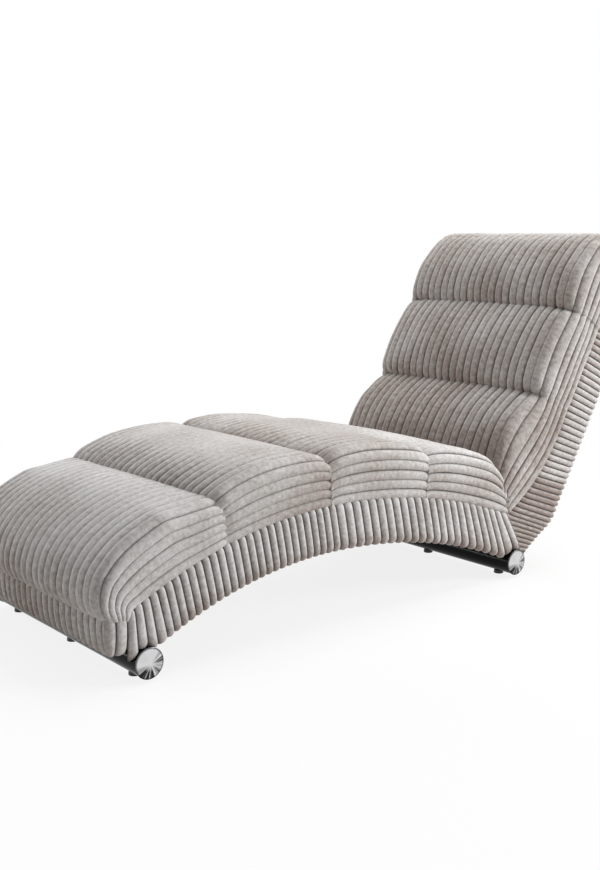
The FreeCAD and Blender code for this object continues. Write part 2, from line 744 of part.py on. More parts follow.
def seat_border(label, side):
    """Upholstered strip on the side of the seat, with a notch over each tube."""
    body = new_body(label)
    strip = sketch_on(body, "YZ_Plane", label + "_outline")
    front = "{foot_y} + {fit_gap}"
    depth = "{seat_depth}"
    rear = "{crease_y} - {fit_gap}"
    outline(strip, (
        (front, "{sole_z}"),
        (front, fore_z("({corner_radius} + {fit_gap})", "{foot_y} + {corner_radius}")),
        ("{foot_y} + {corner_radius} * 0.6", fore_z("{fit_gap}", "{foot_y} + {corner_radius} * 0.6")),
        ("{crest_y}", "{crest_z} - {fit_gap}"),
        (rear, aft_z("{fit_gap}", rear)),
        ("{heel_y} - {fit_gap}", "{sole_z}"),
        ("{crest_y} + " + arch_reach("aft_radius", depth, "{sole_z}"), "{sole_z}"),
        ("{crest_y}", "{crest_z} - " + depth),
        ("{crest_y} - " + arch_reach("fore_radius", depth, "{sole_z}"), "{sole_z}"),
    ), {
        2: ("{fore_radius} - {fit_gap}", -1),
        3: ("{aft_radius} - {fit_gap}", -1),
        6: ("{aft_radius} - " + depth, 1),
        7: ("{fore_radius} - " + depth, 1),
    })
    return finish_border(body, strip, label, side)


def back_border(label, side):
    """Upholstered strip on the side of the back, from the heel mitre to the top."""
    body = new_body(label)
    strip = sketch_on(body, "YZ_Plane", label + "_outline")
    front = "{crease_y} + {fit_gap}"
    depth = "{back_depth}"
    round_off = "{corner_radius}"
    outline(strip, (
        (front, aft_z("{fit_gap}", "{crease_y}") + " + 0.1"),
        back_point("0", "{fit_gap}"),
        back_point("{back_rise}", "{fit_gap}"),
        back_point("{back_rise} + %s - {fit_gap}" % round_off, round_off),
        back_point("{back_rise} + %s - {fit_gap}" % round_off, depth + " - " + round_off),
        back_point("{back_rise}", depth + " - {fit_gap}"),
        (outer_back_y(depth, "({knee_z} + {knee_reach})"), "{knee_z} + {knee_reach}"),
        ("{heel_y} + {heel_reach}", "{sole_z} + {heel_rise}"),
        ("{heel_y} + {fit_gap}", "{sole_z} + 0.2"),
    ), {
        0: ("{bend_radius} + {fit_gap}", 1),
        2: (round_off, -1),
        4: (round_off, -1),
        6: ("{knee_radius}", -1),
    })
    return finish_border(body, strip, label, side)


def finish_border(body, strip, label, side):
    inner = "{frame_width} / 2 + {fit_gap}"
    pad(body, strip, "{border_width} / 2 - (%s)" % inner, back=side < 0)
    notches = sketch_on(body, "YZ_Plane", label + "_notches")
    for end, tube_y in TUBES:
        circle(notches, tube_y, "{tube_z}", "{tube_diameter} / 2 + 1")
    pocket(body, notches, back=side > 0)
    bind(body, Placement__Base__x="%d * (%s)" % (side, inner))
    return keep(body, label)


def build_borders():
    for side, name in ((1, "left"), (-1, "right")):
        seat_border(name + "_seat_border", side)
        back_border(name + "_back_border", side)
    foot = new_body("foot_border")
    band = sketch_on(foot, "XY_Plane", "foot_border_plan")
    front, rear = "{foot_y} - {band_thickness}", "{foot_y}"
    half, turn = "{border_width} / 2", "{border_round}"
    outline(band, (
        ("-1 * (%s)" % half, front + " + " + turn), ("-1 * (%s) + %s" % (half, turn), front),
        ("%s - %s" % (half, turn), front), (half, front + " + " + turn),
        (half, rear), ("-1 * (%s)" % half, rear)), {0: (turn, 1), 2: (turn, 1)})
    pad(foot, band, "{band_top} - {sole_z}")
    bind(foot, Placement__Base__z="{sole_z}")
    keep(foot, "foot_border")

    back = new_body("back_panel")
    skin = sketch_on(back, "YZ_Plane", "back_panel_section")
    outer, inner = "{back_depth} - {fit_gap}", "({back_depth} - {frame_inset} + {fit_gap})"
    knee = "({knee_z} + {knee_reach})"
    outline(skin, (
        ("{heel_y} + {heel_reach} * 0.36", "{sole_z} + {heel_rise} * 0.36"),
        ("{heel_y} + {heel_reach}", "{sole_z} + {heel_rise}"),
        (outer_back_y(outer, knee), knee),
        back_point("{back_rise} - 4", outer),
        back_point("{back_rise} - 4", inner),
        (outer_back_y(inner, knee), knee),
        ("{heel_y} + {heel_reach} - 8", "{sole_z} + {heel_rise} + 8"),
        ("{heel_y} + {heel_reach} * 0.36 - 4", "{sole_z} + {heel_rise} * 0.36 + 6")),
        {1: ("{knee_radius}", 1), 5: ("{knee_radius} - {frame_inset}", -1)})
    pad(back, skin, "{frame_width} - 1", both=True)
    keep(back, "back_panel")


def underside_cover():
    """Black cloth stapled under the arch between the two base rails."""
    cover = new_body("underside_cover")
    section = sketch_on(cover, "YZ_Plane", "cover_section")
    upper = "({seat_depth} - {frame_inset} + {fit_gap})"
    lower = "({seat_depth} - {frame_inset} + {fit_gap} + {cover_thickness})"
    start = "{front_tube_y} + {base_rail_width} / 2 + 2"
    stop = "{rear_tube_y} - {base_rail_width} / 2 - 2"
    outline(section, (
        (start, fore_z(upper, start)), ("{crest_y}", "{crest_z} - " + upper), (stop, aft_z(upper, stop)),
        (stop, aft_z(lower, stop)), ("{crest_y}", "{crest_z} - " + lower), (start, fore_z(lower, start)),
    ), {
        0: ("{fore_radius} - " + upper, -1),
        1: ("{aft_radius} - " + upper, -1),
        3: ("{aft_radius} - " + lower, 1),
        4: ("{fore_radius} - " + lower, 1),
    })
    pad(cover, section, "{frame_width} - 1", both=True)
    keep(cover, "underside_cover")


def write_pieces():
    doc.recompute()
    for item in doc.Objects:
        if "Invalid" in item.State or "Error" in item.State:
            raise RuntimeError("%s did not recompute: %s" % (item.Label, item.State))
    os.makedirs("parts", exist_ok=True)
    for item in nodes:
        shape = item.Shape
        if shape.isNull() or not shape.isValid() or not shape.Solids:
            raise RuntimeError("%s has no sound solid" % item.Label)
        shape.exportStep(os.path.join("parts", item.Label + ".step"))
        print("%-22s %2d solid(s) %10.1f cm3" % (item.Label, len(shape.Solids), shape.Volume / 1000))


build_feet()
build_frame()
contour = Contour()
slabs = build_suspension(contour)
build_pads(contour, slabs)
build_borders()
underside_cover()
write_pieces()
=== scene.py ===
"""Looks of an armless chaise lounge in wide-wale corduroy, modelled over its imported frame, in metres."""

import logging
import math
from dataclasses import dataclass
from enum import Enum
from typing import Iterable, Sequence

import bmesh
import bpy
import numpy as np
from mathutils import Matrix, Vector


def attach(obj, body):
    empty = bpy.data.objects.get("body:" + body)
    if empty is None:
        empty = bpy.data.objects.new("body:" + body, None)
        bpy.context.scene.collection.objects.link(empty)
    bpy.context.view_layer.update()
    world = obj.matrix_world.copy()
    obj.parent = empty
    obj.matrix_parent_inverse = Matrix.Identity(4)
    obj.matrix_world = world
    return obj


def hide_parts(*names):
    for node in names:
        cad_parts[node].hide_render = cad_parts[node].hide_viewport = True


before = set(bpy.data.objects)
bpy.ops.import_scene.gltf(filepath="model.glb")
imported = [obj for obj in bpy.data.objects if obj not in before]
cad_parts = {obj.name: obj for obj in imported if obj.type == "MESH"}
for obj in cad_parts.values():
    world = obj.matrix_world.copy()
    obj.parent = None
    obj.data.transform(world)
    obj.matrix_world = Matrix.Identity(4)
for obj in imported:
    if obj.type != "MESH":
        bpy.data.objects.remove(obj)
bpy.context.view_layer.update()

Array = np.ndarray
Pair = tuple[float, float]
Triple = tuple[float, float, float]
Colour = tuple[float, float, float, float]
Scales = tuple[float, float, float, float]
Piece = bpy.types.Object
Material = bpy.types.Material
Tree = bpy.types.NodeTree
Socket = bpy.types.NodeSocket

LOG = logging.getLogger("chaise")
MILLIMETRE = 0.001
UPRIGHT = math.pi / 2
# Painted light: the pile is painted lighter where it faces outwards, to the head and up.
FACING_PAINTED_LIGHT = (0.10, 0.30, 0.26)  # how much lighter the pile is where it faces outwards, to the head and up
NAP_LEVEL = 0.5  # lay of pile that faces none of these ways
TUBES = (("front", -0.743), ("rear", 0.319))  # name and Y of each foot tube
TUBE_Z = 0.0385
SEAM_DEPTH = 0.024
SEAM_DRAW = 0.002


class Side(Enum):
    """Side of the body, by the sign of X."""

    LEFT = 1
    RIGHT = -1


class Slot(Enum):
    """Material slots of the record."""

    CORDUROY = "corduroy"
    UNDERSIDE = "underside_cloth"
    WOOD = "frame_wood"
    WEBBING = "elastic_webbing"
    TUBE = "tube_black"
    CHROME = "cap_chrome"
    GLIDE = "glide_plastic"
    STEEL = "bolt_steel"


def out(angle: float) -> Array:
    """Unit vector in the side view at an angle from +Y."""
    return np.array((0.0, math.cos(angle), math.sin(angle)))


def unit(vectors: Array) -> Array:
    """Vectors brought to a length of 1."""
    return vectors / np.maximum(np.linalg.norm(vectors, axis=-1, keepdims=True), 1e-12)


def leftward(ahead: Array) -> Array:
    """Directions in the side view, turned a quarter to the left."""
    return np.stack((ahead[:, 0], -ahead[:, 2], ahead[:, 1]), axis=1)


def smoothed(part: Array) -> Array:
    """S-curve from 0 to 1."""
    part = np.clip(part, 0, 1)
    return part * part * (3 - 2 * part)


def rounded(part: Array) -> Array:
    """Quarter circle that rises from 0 to 1."""
    return np.sqrt(np.clip(1 - (1 - np.clip(part, 0, 1)) ** 2, 0, 1))


def on_cloth(across: Array, along: Array) -> Array:
    """Grid of places on the flat cloth, from places across and along it."""
    return np.stack(np.broadcast_arrays(across, along), axis=2)


def lengths(points: Array) -> Array:
    """Distance of each point from the first, along the line through them."""
    steps = np.linalg.norm(np.diff(points, axis=0), axis=1)
    return np.concatenate(([0.0], np.cumsum(steps)))


def spread(points: Array, shares: Array, run: Array | None = None) -> Array:
    """Rows at given shares of the length of a line.

    Args:
        points: Rows of values, such as the points of the line.
        shares: Places wanted, from 0 at the start to 1 at the end.
        run: Place of each row along the line, where the rows aren't its points.

    Returns:
        One row for each share.
    """
    run = lengths(points) if run is None else run
    return np.stack([np.interp(shares * run[-1], run, column) for column in points.T], axis=1)


def eased(places: Array, values: Array, spots: Array) -> Array:
    """Smooth curve through values, which never swings past them.

    Args:
        places: Rising places of the values.
        values: One row of values for each place.
        spots: Places at which the curve is read.

    Returns:
        One row of values for each spot.
    """
    step = np.diff(places)[:, None]
    slope = np.diff(values, axis=0) / step
    near, far = slope[:-1], slope[1:]
    rising = near * far > 0
    safe_near, safe_far = np.where(rising, near, 1.0), np.where(rising, far, 1.0)
    first, second = 2 * step[1:] + step[:-1], step[1:] + 2 * step[:-1]
    middle = np.where(rising, (first + second) / (first / safe_near + second / safe_far), 0.0)
    tangent = np.concatenate((slope[:1], middle, slope[-1:]))
    low = np.clip(np.searchsorted(places, spots, side="right") - 1, 0, len(places) - 2)
    width = step[low]
    part = (spots - places[low])[:, None] / width
    rest = 1 - part
    return (values[low] * (1 + 2 * part) * rest ** 2 + tangent[low] * width * part * rest ** 2
            + values[low + 1] * (3 - 2 * part) * part ** 2 - tangent[low + 1] * width * part ** 2 * rest)


def between(values: Array, spots: Array) -> Array:
    """Values at fractional places of a row, on a smooth curve through it.

    Args:
        values: Values at whole places.
        spots: Places at which the curve is read.

    Returns:
        One value, or row of values, for each spot.
    """
    low = np.clip(np.floor(spots).astype(int), 0, len(values) - 2)
    part = (spots - low).reshape((-1,) + (1,) * (values.ndim - 1))
    row = np.concatenate((2 * values[:1] - values[1:2], values, 2 * values[-1:] - values[-2:-1]))
    before, here, after, beyond = (row[low + step] for step in range(4))
    return here + 0.5 * part * (after - before + part * (
        2 * before - 5 * here + 4 * after - beyond + part * (3 * (here - after) + beyond - before)))


def softened(values: Array, reach: float) -> Array:
    """Rows averaged with their neighbours, with the first and the last kept.

    Args:
        values: Rows at even steps.
        reach: Spread of the averaging, in rows.

    Returns:
        As many rows.
    """
    count = int(3 * reach)
    bell = np.exp(-0.5 * (np.arange(-count, count + 1) / reach) ** 2)
    head = 2 * values[:1] - values[count:0:-1]
    tail = 2 * values[-1:] - values[-2:-count - 2:-1]
    row = np.concatenate((head, values, tail))
    return np.stack([np.convolve(column, bell / bell.sum(), "valid") for column in row.T], axis=1)


def outward(points: Array, middle: Array) -> Array:
    """Unit normals of a grid of points.

    Args:
        points: Grid of points, rows by columns.
        middle: A point that the normals point away from, on the whole.

    Returns:
        One normal for each point.
    """
    normal = unit(np.cross(np.gradient(points, axis=0), np.gradient(points, axis=1)))
    return normal if np.sum(normal * (points - middle)) > 0 else -normal


@dataclass
class SideLine:
    """Line on which the pads lie, in the side view, by distance from the crest of the seat."""

    crest: Triple = (0.0, -0.270, 0.281)
    fore_radius: float = 1.086
    aft_radius: float = 1.490
    seat_depth: float = 0.105
    foot_y: float = -0.788
    crease_y: float = 0.287
    bend_radius: float = 0.460
    bend_start: float = math.radians(28)
    lean: float = math.radians(60)
    back_rise: float = 0.490
    back_depth: float = 0.118
    corner: float = 0.025
    sole_z: float = 0.046
    heel_y: float = 0.347
    heel_end: Triple = (0.0, 0.431, 0.0922)
    knee_top_z: float = 0.153
    knee_radius: float = 0.100
    knee_steps: int = 12
    outline_steps: int = 500
    outline_ease: float = 6.0

    def __post_init__(self) -> None:
        """Works out the hubs and the joints of the line."""
        crest = np.array(self.crest)
        self.fore_hub = crest - out(UPRIGHT) * self.fore_radius
        self.aft_hub = crest - out(UPRIGHT) * self.aft_radius
        reach = crest[1] - self.foot_y - self.corner
        self.nose_angle = math.asin(reach / (self.fore_radius - self.corner))
        self.nose_hub = self.fore_hub + out(UPRIGHT + self.nose_angle) * (self.fore_radius - self.corner)
        self.start = -self.nose_angle * self.fore_radius
        self.front = self.start - self.corner * (UPRIGHT - self.nose_angle)
        self.crease_angle = math.asin((self.crease_y - crest[1]) / self.aft_radius)
        self.crease = self.crease_angle * self.aft_radius
        crease_point = self.aft_hub + out(UPRIGHT - self.crease_angle) * self.aft_radius
        self.bend_hub = crease_point + out(self.bend_start + UPRIGHT) * self.bend_radius
        self.straight = self.crease + self.bend_radius * (self.lean - self.bend_start)
        self.top = self.straight + self.back_rise
        self.quarter = self.corner * UPRIGHT
        self.flat = self.back_depth - 2 * self.corner
        self.rear = self.top + 2 * self.quarter + self.flat

    def place(self, along: float) -> tuple[Array, float]:
        """Point of the line and its outward angle.

        Args:
            along: Distance from the crest, negative towards the foot.

        Returns:
            The point and the angle.
        """
        if along < self.start:
            angle = UPRIGHT + self.nose_angle + (self.start - along) / self.corner
            return self.nose_hub + out(angle) * self.corner, angle
        if along < 0:
            angle = UPRIGHT - along / self.fore_radius
            return self.fore_hub + out(angle) * self.fore_radius, angle
        if along <= self.crease:
            angle = UPRIGHT - along / self.aft_radius
            return self.aft_hub + out(angle) * self.aft_radius, angle
        if along < self.straight:
            angle = self.bend_start + (along - self.crease) / self.bend_radius + UPRIGHT
            return self.bend_hub - out(angle) * self.bend_radius, angle
        angle = self.lean + UPRIGHT
        spot = self.back_point(min(along, self.top) - self.straight, 0.0)
        over = along - self.top
        if over <= 0:
            return spot, angle
        hub = spot - out(angle) * self.corner
        if over < self.quarter:
            angle -= over / self.corner
            return hub + out(angle) * self.corner, angle
        hub += out(self.lean - UPRIGHT) * min(over - self.quarter, self.flat)
        angle = self.lean - max(0.0, over - self.quarter - self.flat) / self.corner
        return hub + out(angle) * self.corner, angle

    def back_point(self, rise: float, depth: float) -> Array:
        """Point behind the straight back line, by its distance up that line and behind it."""
        square = out(self.lean + UPRIGHT)
        return self.bend_hub - square * (self.bend_radius + depth) + out(self.lean) * rise

    def run(self, start: float, stop: float, height: float = 0.0, step: float = 0.003) -> Array:
        """Points along the line, at a height above it.

        Args:
            start: Where the run starts.
            stop: Where it ends.
            height: Height above the line.
            step: Distance between two points.

        Returns:
            One point per row.
        """
        spots = [self.place(along) for along in np.linspace(start, stop, int((stop - start) / step) + 2)]
        return np.array([spot + out(angle) * height for spot, angle in spots])

    def arch_z(self, along_y: float, depth: float) -> float:
        """Height of the arch under the seat.

        Args:
            along_y: Place along Y.
            depth: Depth below the seat's line.

        Returns:
            The height.
        """
        offset = along_y - self.crest[1]
        radius = self.fore_radius if offset < 0 else self.aft_radius
        return self.crest[2] - radius + math.sqrt((radius - depth) ** 2 - offset ** 2)

    def outer_back(self, inset: float) -> Array:
        """Outer outline of the back, from the heel over the knee to the top.

        Args:
            inset: Distance inside that outline.

        Returns:
            One point per row.
        """
        foot = self.back_point(0.0, self.back_depth)
        knee = foot + out(self.lean) * (self.knee_top_z - foot[2]) / math.sin(self.lean)
        low = np.array(self.heel_end)
        chord = knee - low
        half = np.linalg.norm(chord) / 2
        inward = np.array((0.0, -chord[2], chord[1])) / (2 * half)
        hub = (low + knee) / 2 + inward * math.sqrt(self.knee_radius ** 2 - half ** 2)
        ends = [math.atan2(*(spot - hub)[[2, 1]]) for spot in (low, knee)]
        bend = [hub + out(angle) * self.knee_radius for angle in np.linspace(*ends, self.knee_steps)]
        top = self.back_point(self.back_rise, self.back_depth)
        line = np.array([(0.0, self.heel_y, self.sole_z), *bend, top])
        even = spread(line, np.linspace(0, 1, self.outline_steps))
        return even + leftward(unit(np.gradient(softened(even, self.outline_ease), axis=0))) * inset


@dataclass(frozen=True)
class Wales:
    """Raised ribs of the corduroy, in pairs with a deeper groove between the pairs.

    Attributes:
        shallow: Depth of the groove inside a pair, as a share of the height.
        end_round: Length over which a rib rounds off at its end.
        dome: How square the top of a rib is, from 2 for a round one.
        samples: Places within a rib at which it is sampled.
        margin: Least distance of a sample from the edge of a piece, in ribs.
    """

    pitch: float = 0.025
    height: float = 0.0105
    shallow: float = 0.74
    end_round: float = 0.014
    dome: float = 2.1
    samples: tuple[float, ...] = (0.0, 0.03, 0.09, 0.19, 0.33, 0.5, 0.67, 0.81, 0.91, 0.97)
    margin: float = 0.01

    def places(self, first: float, last: float) -> Array:
        """Places at which a piece is sampled.

        Args:
            first: Where the piece starts, in ribs.
            last: Where it ends, in ribs.

        Returns:
            The places, in ribs.
        """
        marks = (np.arange(math.floor(first), math.ceil(last))[:, None] + np.array(self.samples)).ravel()
        inside = marks[(marks > first + self.margin) & (marks < last - self.margin)]
        return np.concatenate(([first], inside, [last]))

    def relief(self, ribs: Array, reach: Array) -> Array:
        """Height of the cloth above the ground of the grooves.

        Args:
            ribs: Places across the ribs, in ribs.
            reach: Distances from the nearest end of a rib.

        Returns:
            Heights, from 0 in a deep groove or at an end.
        """
        part = ribs % 1.0
        top = np.sqrt(np.clip(1 - np.abs(2 * part - 1) ** self.dome, 0, 1))
        groove = np.where(part < 0.5, np.floor(ribs), np.ceil(ribs))
        floor = np.where(groove % 2 == 0, 0.0, 1 - self.shallow)
        return self.height * rounded(reach / self.end_round) * (floor + (1 - floor) * top)


def linked(name: str, shape: bmesh.types.BMesh) -> Piece:
    """Smooth object from a bmesh, linked to the scene.

    Args:
        name: Name of the object and of its mesh.
        shape: The bmesh, which is freed.

    Returns:
        The object.
    """
    mesh = bpy.data.meshes.new(name)
    shape.to_mesh(mesh)
    shape.free()
    mesh.polygons.foreach_set("use_smooth", [True] * len(mesh.polygons))
    piece = bpy.data.objects.new(name, mesh)
    bpy.context.scene.collection.objects.link(piece)
    return piece


def cloth_piece(name: str, points: Array, closed: bool = True, uv: Array | None = None,
                pile: Array | None = None, tone_and_painted_light: Array | float = 0.0) -> Piece:
    """Piece of cloth from a grid of points.

    Args:
        name: Name of the piece.
        points: Grid of points, rows by columns.
        closed: Whether the first and the last column are joined and the ends filled.
        uv: Place of each point on the flat cloth.
        pile: Share of the full rib height at each point, which sets the painted shade in the grooves.
        tone_and_painted_light: How much lighter or darker the pile is painted at each point: painted light
            and shade by region, and a plain darker tone near the heel of the back strips.

    Returns:
        The object, linked to the scene.
    """
    rows, columns = points.shape[:2]
    shape = bmesh.new()
    bmesh.ops.create_grid(shape, x_segments=columns - 1, y_segments=rows - 1, size=0.5)
    shape.verts.ensure_lookup_table()
    for vert, spot in zip(shape.verts, points.reshape(-1, 3)):
        vert.co = spot
    if closed:
        sides = ({0}, {columns - 1})
        rims = [edge for edge in shape.edges
                if edge.is_boundary and {vert.index % columns for vert in edge.verts} in sides]
        bmesh.ops.bridge_loops(shape, edges=rims)
        holes = [edge for edge in shape.edges if edge.is_boundary]
        filled = bmesh.ops.holes_fill(shape, edges=holes, sides=0)
        bmesh.ops.triangulate(shape, faces=filled["faces"])
        bmesh.ops.recalc_face_normals(shape, faces=shape.faces)
    piece = linked(name, shape)
    mesh = piece.data
    if uv is not None:
        corners = np.empty(len(mesh.loops), dtype=np.int32)
        mesh.loops.foreach_get("vertex_index", corners)
        mesh.uv_layers.new(name="cloth").data.foreach_set("uv", uv.reshape(-1, 2)[corners].ravel())
    if pile is not None:
        mesh.attributes.new("pile", "FLOAT", "POINT").data.foreach_set("value", pile.ravel())
        # Painted light: the lay is painted lighter where the piece faces up, to the head and outwards, then
        # shifted by the painted light and shade of its region.
        facing = np.empty(3 * len(mesh.vertices), dtype=np.float32)
        mesh.vertices.foreach_get("normal", facing)
        facing[::3] = np.abs(facing[::3])
        lay_and_painted_light = NAP_LEVEL + facing.reshape(-1, 3) @ np.array(FACING_PAINTED_LIGHT)
        lay_and_painted_light += np.broadcast_to(tone_and_painted_light, points.shape[:2]).ravel()
        mesh.attributes.new("lay_and_painted_light", "FLOAT", "POINT").data.foreach_set("value", lay_and_painted_light)
    return piece


def place_piece(piece: Piece, material: Material, nodes: Iterable[str]) -> Piece:
    """Gives a piece its material and its place on the body.

    Args:
        piece: The piece.
        material: Its material.
        nodes: Solids that it stands for.

    Returns:
        The piece.
    """
    piece.data.materials.append(material)
    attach(piece, "root")
    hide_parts(*nodes)
    return piece


@dataclass(frozen=True)
class Inflation:
    """Cloth simulation that fills a sewn pad.

    Attributes:
        cap: How far a point may move.
    """

    pressure: float = 4.0
    frames: int = 20
    cap: float = 0.022
    quality: int = 6
    mass: float = 0.3
    stiffness: float = 60.0
    shear: float = 0.4
    bending: float = 8.0

    def run(self, pads: Sequence[tuple[str, Array, Array]]) -> list[Array]:
        """Fills the pads together.

        Args:
            pads: Name, grid of points and mask of the held points of each pad.

        Returns:
            The filled grid of each pad.
        """
        bags = [self.bag(*pad) for pad in pads]
        scene = bpy.context.scene
        for number in range(1, self.frames + 1):
            scene.frame_set(number)
        graph = bpy.context.evaluated_depsgraph_get()
        filled = []
        for bag, (_, points, _) in zip(bags, pads):
            spots = np.empty(points.size, dtype=np.float32)
            bag.evaluated_get(graph).data.vertices.foreach_get("co", spots)
            move = spots.reshape(points.shape) - points
            far = np.linalg.norm(move, axis=2, keepdims=True)
            filled.append(points + move * np.minimum(1, self.cap / np.maximum(far, 1e-9)))
            mesh = bag.data
            bpy.data.objects.remove(bag)
            bpy.data.meshes.remove(mesh)
        scene.frame_set(1)
        return filled

    def bag(self, name: str, points: Array, held: Array) -> Piece:
        """Closed bag with its seams held, ready to be filled.

        Args:
            name: Name of the pad.
            points: Its grid of points.
            held: Mask of the held points.

        Returns:
            The bag.
        """
        bag = cloth_piece(name + "_bag", points)
        seams = bag.vertex_groups.new(name="seams")
        seams.add([int(index) for index in np.flatnonzero(held)], 1.0, "REPLACE")
        cloth = bag.modifiers.new("filling", "CLOTH")
        settings = cloth.settings
        settings.quality = self.quality
        settings.mass = self.mass
        settings.tension_stiffness = settings.compression_stiffness = self.stiffness
        settings.shear_stiffness = self.shear * self.stiffness
        settings.bending_stiffness = self.bending
        settings.use_pressure = True
        settings.uniform_pressure_force = self.pressure
        settings.vertex_group_mass = "seams"
        settings.effector_weights.gravity = 0.0
        cloth.collision_settings.use_collision = False
        cloth.point_cache.frame_end = self.frames
        return bag


@dataclass(frozen=True)
class Station:
    """One section of a pad.

    Attributes:
        along: Place on the side line.
        lean: Turn of the section from square to that line, in degrees.
        height: Height of the crown above the line.
        draw: How far the sides are drawn in.
        dip: How far the crown is sunk into a seam.
    """

    along: float
    lean: float
    height: float
    draw: float = 0.0
    dip: float = 0.0


@dataclass(frozen=True)
class Tuft:
    """Dimple that a pulled stitch makes where a seam meets the shoulder of a pad.

    Attributes:
        at_end: Whether it is at the far end of the pad.
        rib: Its place across, in ribs from the middle.
        sag: How far it kinks the ribs on the side of the pad.
    """

    at_end: bool
    depth: float = 0.007
    rib: float = 10.8
    length: float = 0.026
    width: float = 1.2
    sag: float = 0.005
    sag_length: float = 0.010


